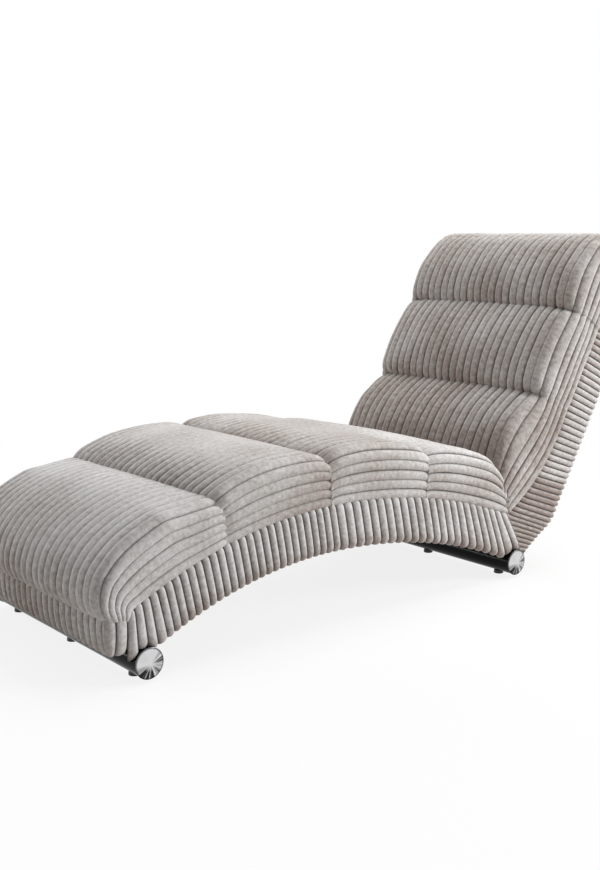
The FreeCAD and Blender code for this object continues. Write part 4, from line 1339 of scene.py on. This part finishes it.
@dataclass
class Underside:
    """Black cloth stapled under the arch."""

    line: SideLine
    start_y: float = -0.715
    stop_y: float = 0.291
    half: float = 0.2735
    depth: float = 0.0962
    sag: float = 0.004
    thickness: float = 0.0009
    steps: tuple[int, int] = (84, 46)

    def build(self, material: Material) -> list[Piece]:
        """Makes the cloth, which hangs a little between its staples.

        Args:
            material: The cloth's finish.

        Returns:
            The cloth.
        """
        along = np.linspace(self.start_y, self.stop_y, self.steps[0])
        across = np.linspace(-self.half, self.half, self.steps[1])
        level = np.array([self.line.arch_z(spot, self.depth) for spot in along])
        hang = np.outer(np.sin(np.linspace(0, math.pi, len(along))) ** 0.5, 1 - (across / self.half) ** 4)
        flat = on_cloth(across[None], along[:, None])
        points = np.concatenate((flat, (level[:, None] - self.sag * hang)[..., None]), axis=2)
        cloth = cloth_piece("under_cloth", points, closed=False, uv=flat)
        wall = cloth.modifiers.new("thickness", "SOLIDIFY")
        wall.thickness, wall.offset = self.thickness, 0.0
        place_piece(cloth, material, ("underside_cover",))
        return [cloth]


@dataclass
class Feet:
    """Two black tubes across the body with chrome caps, on small glides."""

    radius: float = 0.030
    wall: float = 0.002
    half: float = 0.300
    tube_ease: float = 0.0004
    cap_radius: float = 0.0315
    cap_rim: float = 0.005
    cap_dome: float = 0.0038
    cap_ease: float = 0.0016
    cap_plug: float = 0.018
    cap_gap: float = 0.0003
    glide_radius: float = 0.012
    glide_spacing: float = 0.245
    glide_ease: float = 0.0016
    glide_taper: float = 0.0006
    plug_radius: float = 0.0076
    plug_length: float = 0.007
    turns: int = 96
    sharp: float = math.radians(32)

    def turned(self, name: str, outlines: Sequence[Sequence[Pair]], axis: Vector,
               places: Sequence[Vector]) -> Piece:
        """Piece of turned bodies.

        Args:
            name: Name of the piece.
            outlines: Distance along the axis and radius of each body's outline.
            axis: Direction of the axis.
            places: Where the bodies' axes start.

        Returns:
            The piece.
        """
        shape = bmesh.new()
        square = Vector((0, 0, 1)) if abs(axis.z) < 0.5 else Vector((1, 0, 0))
        for outline, place in zip(outlines, places):
            verts = [shape.verts.new(place + axis * along + square * radius) for along, radius in outline]
            edges = [shape.edges.new(pair) for pair in zip(verts, verts[1:])]
            bmesh.ops.spin(shape, geom=verts + edges, cent=place, axis=axis, angle=2 * math.pi,
                           steps=self.turns, use_merge=True)
        bmesh.ops.remove_doubles(shape, verts=shape.verts, dist=1e-6)
        bmesh.ops.recalc_face_normals(shape, faces=shape.faces)
        piece = linked(name, shape)
        piece.data.set_sharp_from_angle(angle=self.sharp)
        return piece

    def tube_outline(self) -> list[Pair]:
        """Outline of a tube.

        Returns:
            The closed outline of its wall, with eased ends.
        """
        half, radius, inner, ease = self.half, self.radius, self.radius - self.wall, self.tube_ease
        return [(-half, radius - ease), (-half + ease, radius), (half - ease, radius), (half, radius - ease),
                (half, inner), (-half, inner), (-half, radius - ease)]

    def cap_outline(self) -> list[Pair]:
        """Outline of a cap.

        Returns:
            The outline from the middle of its domed face to its plug.
        """
        end, ease = self.half, self.cap_ease
        face = self.cap_radius - ease
        dome = [(end + self.cap_rim - self.cap_dome * (radius / face) ** 2, radius)
                for radius in np.linspace(0, 0.98 * face, 14)]
        rim = end + self.cap_rim - self.cap_dome
        edge = [(rim - 0.5 * ease * (1 - math.cos(angle)), face + ease * math.sin(angle))
                for angle in np.linspace(0, UPRIGHT, 8)]
        back, plug = end + self.cap_gap, self.radius - self.wall - self.cap_gap
        return dome + edge + [(back, self.cap_radius), (back, plug), (end - self.cap_plug, plug),
                              (end - self.cap_plug, 0.0)]

    def glide_outline(self) -> list[Pair]:
        """Outline of a glide.

        Returns:
            The outline from the middle of its sole to its plug.
        """
        top, ease = TUBE_Z - self.radius, self.glide_ease
        sole = self.glide_radius - ease
        edge = [(ease * (1 - math.cos(angle)), sole + ease * math.sin(angle))
                for angle in np.linspace(0.2, UPRIGHT, 6)]
        shank = [(top - 0.0002, self.glide_radius - self.glide_taper), (top + 0.0001, self.plug_radius)]
        plug = top + self.plug_length
        return [(0.0, 0.0), (0.0, sole)] + edge + shank + [(plug, self.plug_radius), (plug, 0.0)]

    def mark_spokes(self, caps: Piece, axis: Vector) -> None:
        """Marks the direction of each point of the caps from their axis, and its distance in place of X.

        Args:
            caps: The caps of one tube.
            axis: A point of their axis.
        """
        spokes = np.array([vert.co - axis for vert in caps.data.vertices])
        spokes[:, 0] = 0.0
        away = np.linalg.norm(spokes, axis=1)
        spokes /= np.maximum(away, 1e-6)[:, None]
        spokes[:, 0] = away / self.cap_radius
        marks = caps.data.attributes.new("spoke", "FLOAT_VECTOR", "POINT")
        marks.data.foreach_set("vector", spokes.ravel())

    def build(self, paint: Material, chrome: Material, plastic: Material) -> list[Piece]:
        """Makes and dresses the tubes, the caps and the glides.

        Args:
            paint: Finish of the tubes.
            chrome: Finish of the caps.
            plastic: Finish of the glides.

        Returns:
            The six pieces.
        """
        pieces = []
        across, up = Vector((1, 0, 0)), Vector((0, 0, 1))
        cap = self.cap_outline()
        for end, place_y in TUBES:
            axis = Vector((0, place_y, TUBE_Z))
            tube = self.turned(end + "_tube", [self.tube_outline()], across, [axis])
            caps = self.turned(end + "_caps", [cap, [(-x, r) for x, r in cap]], across, [axis, axis])
            self.mark_spokes(caps, axis)
            spots = [Vector((step * self.glide_spacing, place_y, 0)) for step in (-1, 0, 1)]
            glides = self.turned(end + "_feet", [self.glide_outline()] * 3, up, spots)
            pieces.append(place_piece(tube, paint, (end + "_foot_tube",)))
            pieces.append(place_piece(caps, chrome, (end + "_end_caps",)))
            pieces.append(place_piece(glides, plastic, (end + "_glides",)))
        return pieces


class Shader:
    """Adds nodes to a shader tree and links them."""

    def __init__(self, tree: Tree) -> None:
        """Takes the tree and empties it."""
        self.tree = tree
        tree.nodes.clear()

    def add(self, kind: str, values: dict | None = None, **settings: object) -> bpy.types.Node:
        """Adds a node.

        Args:
            kind: Type of the node.
            values: Constants or output sockets for its inputs, by name or number.
            settings: Properties of the node.

        Returns:
            The node.
        """
        node = self.tree.nodes.new(kind)
        for name, value in settings.items():
            setattr(node, name, value)
        for name, value in (values or {}).items():
            if isinstance(value, bpy.types.NodeSocket):
                self.tree.links.new(value, node.inputs[name])
            else:
                node.inputs[name].default_value = value
        return node

    def ramp(self, factor: Socket, stops: Sequence[tuple[float, Colour]]) -> Socket:
        """Colour ramp from a factor.

        Args:
            factor: Socket with the factor.
            stops: Places and colours.

        Returns:
            The colour socket.
        """
        node = self.add("ShaderNodeValToRGB", {"Fac": factor})
        elements = node.color_ramp.elements
        while len(elements) < len(stops):
            elements.new(0.5)
        for element, (place, colour) in zip(elements, stops):
            element.position, element.color = place, colour
        return node.outputs["Color"]

    def fit(self, value: Socket, given: Pair, wanted: Pair = (0.0, 1.0), **settings: object) -> Socket:
        """Value brought from one range to another.

        Args:
            value: Socket with the value.
            given: The range that it has.
            wanted: The range that it gets, and stays in.
            settings: Properties of the node.

        Returns:
            The new value.
        """
        names = ("From Min", "From Max", "To Min", "To Max")
        limits = dict(zip(names, (*given, *wanted)))
        return self.add("ShaderNodeMapRange", {"Value": value, **limits}, **settings).outputs[0]

    def mix(self, share: float | Socket, first: float | Socket, second: Socket) -> Socket:
        """Value between two others."""
        return self.add("ShaderNodeMix", {"Factor": share, 2: first, 3: second}).outputs[0]

    def math(self, operation: str, first: Socket, second: Socket, **settings: object) -> Socket:
        """Value worked out from two others."""
        return self.add("ShaderNodeMath", {0: first, 1: second}, operation=operation, **settings).outputs[0]

    def noise(self, place: Socket, scale: float | Socket, detail: float, roughness: float = 0.5) -> Socket:
        """Noise, by its scale, its detail and how rough that is."""
        values = {"Vector": place, "Scale": scale, "Detail": detail, "Roughness": roughness}
        return self.add("ShaderNodeTexNoise", values).outputs["Fac"]

    def attribute(self, name: str, output: str = "Fac") -> Socket:
        """Attribute of the piece."""
        return self.add("ShaderNodeAttribute", attribute_name=name).outputs[output]

    def body(self) -> Socket:
        """Place on the body."""
        return self.add("ShaderNodeTexCoord").outputs["Object"]

    def mottled(self, mottle: Tree, place: Socket, scales: Scales) -> bpy.types.bpy_prop_collection:
        """Outputs of the group for uneven shade, given its scales."""
        values = dict(zip(("Patches", "Streaks", "Stretch", "Grain"), scales))
        return self.add("ShaderNodeGroup", {"Vector": place, **values}, node_tree=mottle).outputs

    def bump(self, height: Socket, strength: float, depth: float) -> Socket:
        """Normal of a fine relief, by its strength and depth."""
        values = {"Height": height, "Strength": strength, "Distance": depth}
        return self.add("ShaderNodeBump", values).outputs[0]

    def cover(self, values: dict) -> None:
        """Surface of a material, from the values of its shader."""
        made = self.add("ShaderNodeBsdfPrincipled", values)
        self.add("ShaderNodeOutputMaterial", {"Surface": made.outputs[0]})

    def seen(self) -> Socket:
        """What the camera sees, straight, in a reflection or through glass.

        Returns:
            1 for such a ray, 0 for one that carries light.
        """
        path = self.add("ShaderNodeLightPath").outputs
        shown = self.math("MAXIMUM", path["Is Camera Ray"], path["Is Glossy Ray"])
        return self.math("MAXIMUM", shown, path["Is Transmission Ray"])


def blank_material(name: str) -> tuple[Material, Shader]:
    """New material with an empty tree.

    Args:
        name: Name of the material.

    Returns:
        The material and what adds nodes to it.
    """
    made = bpy.data.materials.new(name)
    made.use_nodes = True
    return made, Shader(made.node_tree)


def mottle_group() -> Tree:
    """Group that makes uneven shade: soft patches, streaks along a direction and fine grain.

    Returns:
        The group.
    """
    group = bpy.data.node_groups.new("mottle", "ShaderNodeTree")
    group.interface.new_socket("Vector", in_out="INPUT", socket_type="NodeSocketVector")
    for label, value in (("Patches", 9.0), ("Streaks", 60.0), ("Stretch", 0.15), ("Grain", 900.0)):
        socket = group.interface.new_socket(label, in_out="INPUT", socket_type="NodeSocketFloat")
        socket.default_value = value
    for label in ("Shade", "Height"):
        group.interface.new_socket(label, in_out="OUTPUT", socket_type="NodeSocketFloat")
    shader = Shader(group)
    given = shader.add("NodeGroupInput").outputs
    place = given["Vector"]
    stretch = shader.add("ShaderNodeCombineXYZ", {"X": 1.0, "Y": given["Stretch"], "Z": 1.0})
    pulled = shader.add("ShaderNodeVectorMath", {0: place, 1: stretch.outputs[0]}, operation="MULTIPLY")
    patches = shader.noise(place, given["Patches"], 3.0, 0.55)
    streaks = shader.noise(pulled.outputs[0], given["Streaks"], 4.0, 0.6)
    grain = shader.noise(place, given["Grain"], 2.0, 0.7)
    shade = shader.mix(0.25, shader.mix(0.45, patches, streaks), grain)
    shader.add("NodeGroupOutput", {"Shade": shade, "Height": shader.mix(0.7, streaks, grain)})
    return group


@dataclass(frozen=True)
class Corduroy:
    """Cut pile on ribs, with painted light and shade: lit, mid and shaded tones of the pile picked by its
    lay, and painted shade in the grooves.

    Attributes:
        mid: Lay of pile that stands up, which takes the mid tone between the painted shaded and lit tones.
        ruffle: How much the uneven shade changes the lay, both ways.
        groove_shade_range: Share of the rib height at which the painted shade in the grooves starts and ends
            to fade out.
    """

    # Near-black colour of the painted shade in the grooves.
    groove_painted_shade: Colour = (0.032, 0.026, 0.023, 1.0)
    # Painted shaded, mid and lit tones of one pile.
    painted_shaded_pile: Colour = (0.275, 0.216, 0.188, 1.0)
    pile_mid_tone: Colour = (0.430, 0.394, 0.371, 1.0)
    painted_lit_pile: Colour = (0.632, 0.619, 0.609, 1.0)
    mid: float = 0.45
    scales: Scales = (90.0, 260.0, 0.45, 900.0)
    broad: float = 7.0
    broad_share: float = 0.24
    shade_range: Pair = (0.36, 0.64)
    ruffle: float = 0.52
    groove_shade_range: Pair = (0.05, 0.85)
    relief: float = 0.45
    relief_depth: float = 0.0012
    roughness: float = 0.86
    sheen: float = 0.45
    sheen_roughness: float = 0.35
    specular: float = 0.25

    def material(self, mottle: Tree) -> Material:
        """Material of the cloth.

        Args:
            mottle: The group for uneven shade.

        Returns:
            The material.
        """
        made, shader = blank_material(Slot.CORDUROY.value)
        cloth = shader.add("ShaderNodeUVMap", uv_map="cloth").outputs["UV"]
        flat = shader.mottled(mottle, cloth, self.scales)
        mixed = shader.mix(self.broad_share, flat["Shade"], shader.noise(shader.body(), self.broad, 2.0))
        ruffle = shader.fit(mixed, self.shade_range, (-self.ruffle, self.ruffle))
        # Painted light and shade: the lay, lighter by facing and by region and made uneven by the ruffle,
        # picks between shaded, mid and lit pile tones.
        lay_and_painted_light = shader.math("ADD", shader.attribute("lay_and_painted_light"), ruffle, use_clamp=True)
        stops = ((0.0, self.painted_shaded_pile), (self.mid, self.pile_mid_tone), (1.0, self.painted_lit_pile))
        # Painted shade in the grooves: where the pile is low, the colour turns to the near-black groove
        # colour.
        depth = shader.fit(shader.attribute("pile"), self.groove_shade_range, interpolation_type="SMOOTHSTEP")
        shades = {"Factor": depth, 6: self.groove_painted_shade, 7: shader.ramp(lay_and_painted_light, stops)}
        colour = shader.add("ShaderNodeMix", shades, data_type="RGBA")
        shader.cover({
            "Base Color": colour.outputs[2],
            "Normal": shader.bump(flat["Height"], self.relief, self.relief_depth),
            "Roughness": self.roughness,
            "Sheen Weight": self.sheen,
            "Sheen Roughness": self.sheen_roughness,
            "Specular IOR Level": self.specular,
        })
        return made


@dataclass(frozen=True)
class Plain:
    """Hard or woven finish with uneven tone, roughness and a fine relief.

    Attributes:
        scales: Patches, streaks, stretch and grain of its uneven shade.
    """

    slot: Slot
    low: Colour
    high: Colour
    rough: Pair
    scales: Scales
    relief: float
    metallic: float = 0.0
    specular: float = 0.5
    relief_depth: float = 0.0006
    tone_range: Pair = (0.35, 0.65)
    rough_range: Pair = (0.3, 0.7)

    def material(self, mottle: Tree) -> Material:
        """Material of the finish.

        Args:
            mottle: The group for uneven shade.

        Returns:
            The material.
        """
        made, shader = blank_material(self.slot.value)
        shade = shader.mottled(mottle, shader.body(), self.scales)
        tone = shader.fit(shade["Shade"], self.tone_range)
        shader.cover({
            "Base Color": shader.ramp(tone, ((0.0, self.low), (1.0, self.high))),
            "Roughness": shader.fit(shade["Shade"], self.rough_range, self.rough),
            "Normal": shader.bump(shade["Height"], self.relief, self.relief_depth),
            "Metallic": self.metallic,
            "Specular IOR Level": self.specular,
        })
        return made


@dataclass(frozen=True)
class SpunChrome:
    """Chrome spun on a lathe, whose face carries streaks from its middle: spun marks, with painted dark
    reflections that are keenest on one side, and a painted dark rim.

    Attributes:
        streaks: How close the streaks lie.
        dark_reflection_side: Direction, seen along the axis, in which the painted dark reflections in the
            streaks are keenest.
        clear_range: Distance from the middle, as a share, over which the streaks start.
    """

    slot: Slot = Slot.CHROME
    # Painted dark reflection, in the streaks and at the rim.
    dark: Colour = (0.016, 0.016, 0.017, 1.0)
    bright: Colour = (0.66, 0.66, 0.67, 1.0)
    streaks: float = 3.4
    streak_range: Pair = (0.44, 0.62)
    dark_reflection_side: Triple = (0.0, 0.45, -0.9)
    dark_reflection_side_range: Pair = (-0.45, 0.25)
    dark_reflection_side_share: Pair = (0.08, 1.0)
    clear_range: Pair = (0.08, 0.5)
    rim_painted_shade_range: Pair = (0.86, 0.96)
    rim_painted_shade_share: Pair = (1.0, 0.15)
    relief: float = 0.35
    relief_depth: float = 0.0012
    scales: Scales = (60.0, 400.0, 1.0, 1800.0)
    shade_range: Pair = (0.3, 0.7)
    rough: Pair = (0.06, 0.14)

    def material(self, mottle: Tree) -> Material:
        """Material of the finish.

        Args:
            mottle: The group for uneven shade.

        Returns:
            The material.
        """
        made, shader = blank_material(self.slot.value)
        spoke = shader.attribute("spoke", "Vector")
        wear = shader.mottled(mottle, shader.body(), self.scales)
        flat = shader.add("ShaderNodeVectorMath", {0: spoke, 1: (0.0, 1.0, 1.0)}, operation="MULTIPLY")
        way = flat.outputs[0]
        away = shader.add("ShaderNodeSeparateXYZ", {0: spoke}).outputs["X"]
        turn = shader.add("ShaderNodeVectorMath", {0: way, 1: self.dark_reflection_side}, operation="DOT_PRODUCT")
        # Painted dark reflections: the streaks are keenest on one side of the face.
        dark_reflection_side = shader.fit(turn.outputs["Value"], self.dark_reflection_side_range, self.dark_reflection_side_share)
        share = shader.math("MULTIPLY", shader.fit(away, self.clear_range), dark_reflection_side)
        line = shader.fit(shader.noise(way, self.streaks, 2.0, 0.6), self.streak_range)
        # Painted shade: the rim is painted dark.
        rim = shader.fit(away, self.rim_painted_shade_range, self.rim_painted_shade_share)
        shade = shader.math("MULTIPLY", shader.mix(share, 1.0, line), rim)
        shader.cover({
            "Base Color": shader.ramp(shade, ((0.0, self.dark), (1.0, self.bright))),
            "Roughness": shader.fit(wear["Shade"], self.shade_range, self.rough),
            "Normal": shader.bump(shade, self.relief, self.relief_depth),
            "Metallic": 1.0,
        })
        return made


FINISHES = (
    Plain(Slot.UNDERSIDE, (0.012, 0.012, 0.012, 1), (0.035, 0.034, 0.034, 1), (0.85, 0.98),
          (30, 700, 1, 2400), relief=0.4),
    Plain(Slot.WOOD, (0.46, 0.31, 0.18, 1), (0.72, 0.55, 0.36, 1), (0.5, 0.75),
          (6, 90, 0.06, 700), relief=0.25),
    Plain(Slot.WEBBING, (0.05, 0.045, 0.04, 1), (0.16, 0.15, 0.14, 1), (0.75, 0.92),
          (40, 420, 0.4, 1800), relief=0.5),
    Plain(Slot.TUBE, (0.004, 0.004, 0.004, 1), (0.009, 0.009, 0.009, 1), (0.14, 0.22),
          (12, 160, 0.3, 900), relief=0.015, specular=0.06),
    SpunChrome(),
    Plain(Slot.GLIDE, (0.010, 0.010, 0.010, 1), (0.024, 0.024, 0.024, 1), (0.45, 0.62),
          (60, 500, 1, 2200), relief=0.12),
    Plain(Slot.STEEL, (0.42, 0.42, 0.43, 1), (0.62, 0.62, 0.63, 1), (0.25, 0.42),
          (80, 700, 0.2, 2500), relief=0.06, metallic=1.0),
)

CARRIED = {
    Slot.WOOD: ("left_side_frame", "right_side_frame", "foot_cross_rail", "front_base_rail",
                "calf_cross_rail", "thigh_cross_rail", "rear_base_rail", "lumbar_cross_rail",
                "shoulder_cross_rail", "head_cross_rail", "corner_blocks"),
    Slot.WEBBING: ("seat_webbing", "back_webbing"),
    Slot.STEEL: ("foot_bolts",),
}


@dataclass(frozen=True)
class SoftBox:
    """Lamp with a soft edge."""

    name: str
    place: Triple
    size: Pair
    power: float

    def build(self, aim: Triple) -> None:
        """Sets up the lamp.

        Args:
            aim: The point that it faces.
        """
        light = bpy.data.lights.new(self.name, "AREA")
        light.shape, light.energy = "RECTANGLE", self.power
        light.size, light.size_y = self.size
        lamp = bpy.data.objects.new(self.name, light)
        lamp.location = self.place
        lamp.rotation_mode = "QUATERNION"
        lamp.rotation_quaternion = (Vector(aim) - Vector(self.place)).to_track_quat("-Z", "Y")
        lamp.visible_camera = False
        bpy.context.scene.collection.objects.link(lamp)


@dataclass
class Studio:
    """Floor, soft light and camera.

    Attributes:
        white_range: Distance from the middle over which the floor turns white.
        white_share: How white the floor looks in the middle and far away.
    """

    camera_place: Triple = (2.0680, -1.8359, 0.8379)
    camera_pitch: float = math.radians(90 - 9.95)
    camera_yaw: float = math.radians(50.41)
    lens: float = 47.45
    sensor: float = 36.0
    ambient: float = 0.20
    aim: Triple = (0.0, 0.0, 0.35)
    lamps: tuple[SoftBox, ...] = (
        SoftBox("overhead", (0.2, 1.1, 3.0), (2.2, 2.2), 72.0),
        SoftBox("right_rear", (3.3, 3.3, 2.0), (1.6, 1.6), 172.0),
        SoftBox("left_rear", (-2.6, 0.9, 1.5), (1.2, 1.2), 22.0),
        SoftBox("left_front", (-2.4, -2.2, 1.3), (1.2, 1.2), 15.0),
        SoftBox("low_strip", (-2.4, -2.2, 0.45), (1.8, 0.25), 24.0),
    )
    floor_half: float = 14.0
    floor_tone: Colour = (0.93, 0.93, 0.93, 1.0)
    white_range: Pair = (0.6, 2.2)
    white_share: Pair = (0.84, 1.0)

    def build(self) -> None:
        """Sets up the floor, the light and the camera."""
        self.floor()
        self.world()
        for lamp in self.lamps:
            lamp.build(self.aim)
        view = bpy.data.cameras.new("camera")
        view.lens, view.sensor_width = self.lens, self.sensor
        camera = bpy.data.objects.new("camera", view)
        camera.location = self.camera_place
        camera.rotation_euler = (self.camera_pitch, 0, self.camera_yaw)
        scene = bpy.context.scene
        scene.collection.objects.link(camera)
        scene.camera = camera
        scene.view_settings.view_transform = "Standard"

    def floor(self) -> None:
        """Pale floor, which looks white but keeps a soft shadow near the middle."""
        shape = bmesh.new()
        bmesh.ops.create_grid(shape, x_segments=4, y_segments=4, size=self.floor_half)
        floor = linked("floor", shape)
        paint, shader = blank_material("floor")
        away = shader.add("ShaderNodeVectorMath", {0: shader.body()}, operation="LENGTH").outputs["Value"]
        pale = shader.fit(away, self.white_range, self.white_share, interpolation_type="SMOOTHSTEP")
        share = shader.math("MULTIPLY", shader.seen(), pale)
        matte = shader.add("ShaderNodeBsdfDiffuse", {"Color": self.floor_tone})
        white = shader.add("ShaderNodeEmission", {"Color": (1, 1, 1, 1), "Strength": 1.0})
        mixed = shader.add("ShaderNodeMixShader", {0: share, 1: matte.outputs[0], 2: white.outputs[0]})
        shader.add("ShaderNodeOutputMaterial", {"Surface": mixed.outputs[0]})
        floor.data.materials.append(paint)

    def world(self) -> None:
        """White surroundings for the camera and for reflections, and dimmer even light."""
        world = bpy.data.worlds.new("studio")
        bpy.context.scene.world = world
        world.use_nodes = True
        shader = Shader(world.node_tree)
        strength = shader.fit(shader.seen(), (0.0, 1.0), (self.ambient, 1.0))
        sky = shader.add("ShaderNodeBackground", {"Color": (1, 1, 1, 1), "Strength": strength})
        shader.add("ShaderNodeOutputWorld", {"Surface": sky.outputs[0]})


def dress_carried(materials: dict[Slot, Material]) -> None:
    """Gives the solids that stay their finish.

    Args:
        materials: Material of each slot.
    """
    for slot, names in CARRIED.items():
        for name in names:
            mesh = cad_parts[name].data
            mesh.materials.clear()
            mesh.materials.append(materials[slot])
            LOG.info("%s: %s", name, slot.value)


def main() -> None:
    """Builds the chaise and its studio."""
    logging.basicConfig(level=logging.INFO, format="%(name)s: %(message)s")
    Studio().build()
    mottle = mottle_group()
    materials = {finish.slot: finish.material(mottle) for finish in FINISHES}
    corduroy = Corduroy().material(mottle)
    line = SideLine()
    pieces = Upholstery(line).build(corduroy)
    pieces += Borders(line).build(corduroy)
    pieces += Underside(line).build(materials[Slot.UNDERSIDE])
    pieces += Feet().build(materials[Slot.TUBE], materials[Slot.CHROME], materials[Slot.GLIDE])
    dress_carried(materials)
    for piece in pieces:
        LOG.info("%s: %d faces", piece.name, len(piece.data.polygons))


if __name__ == "__main__":
    main()
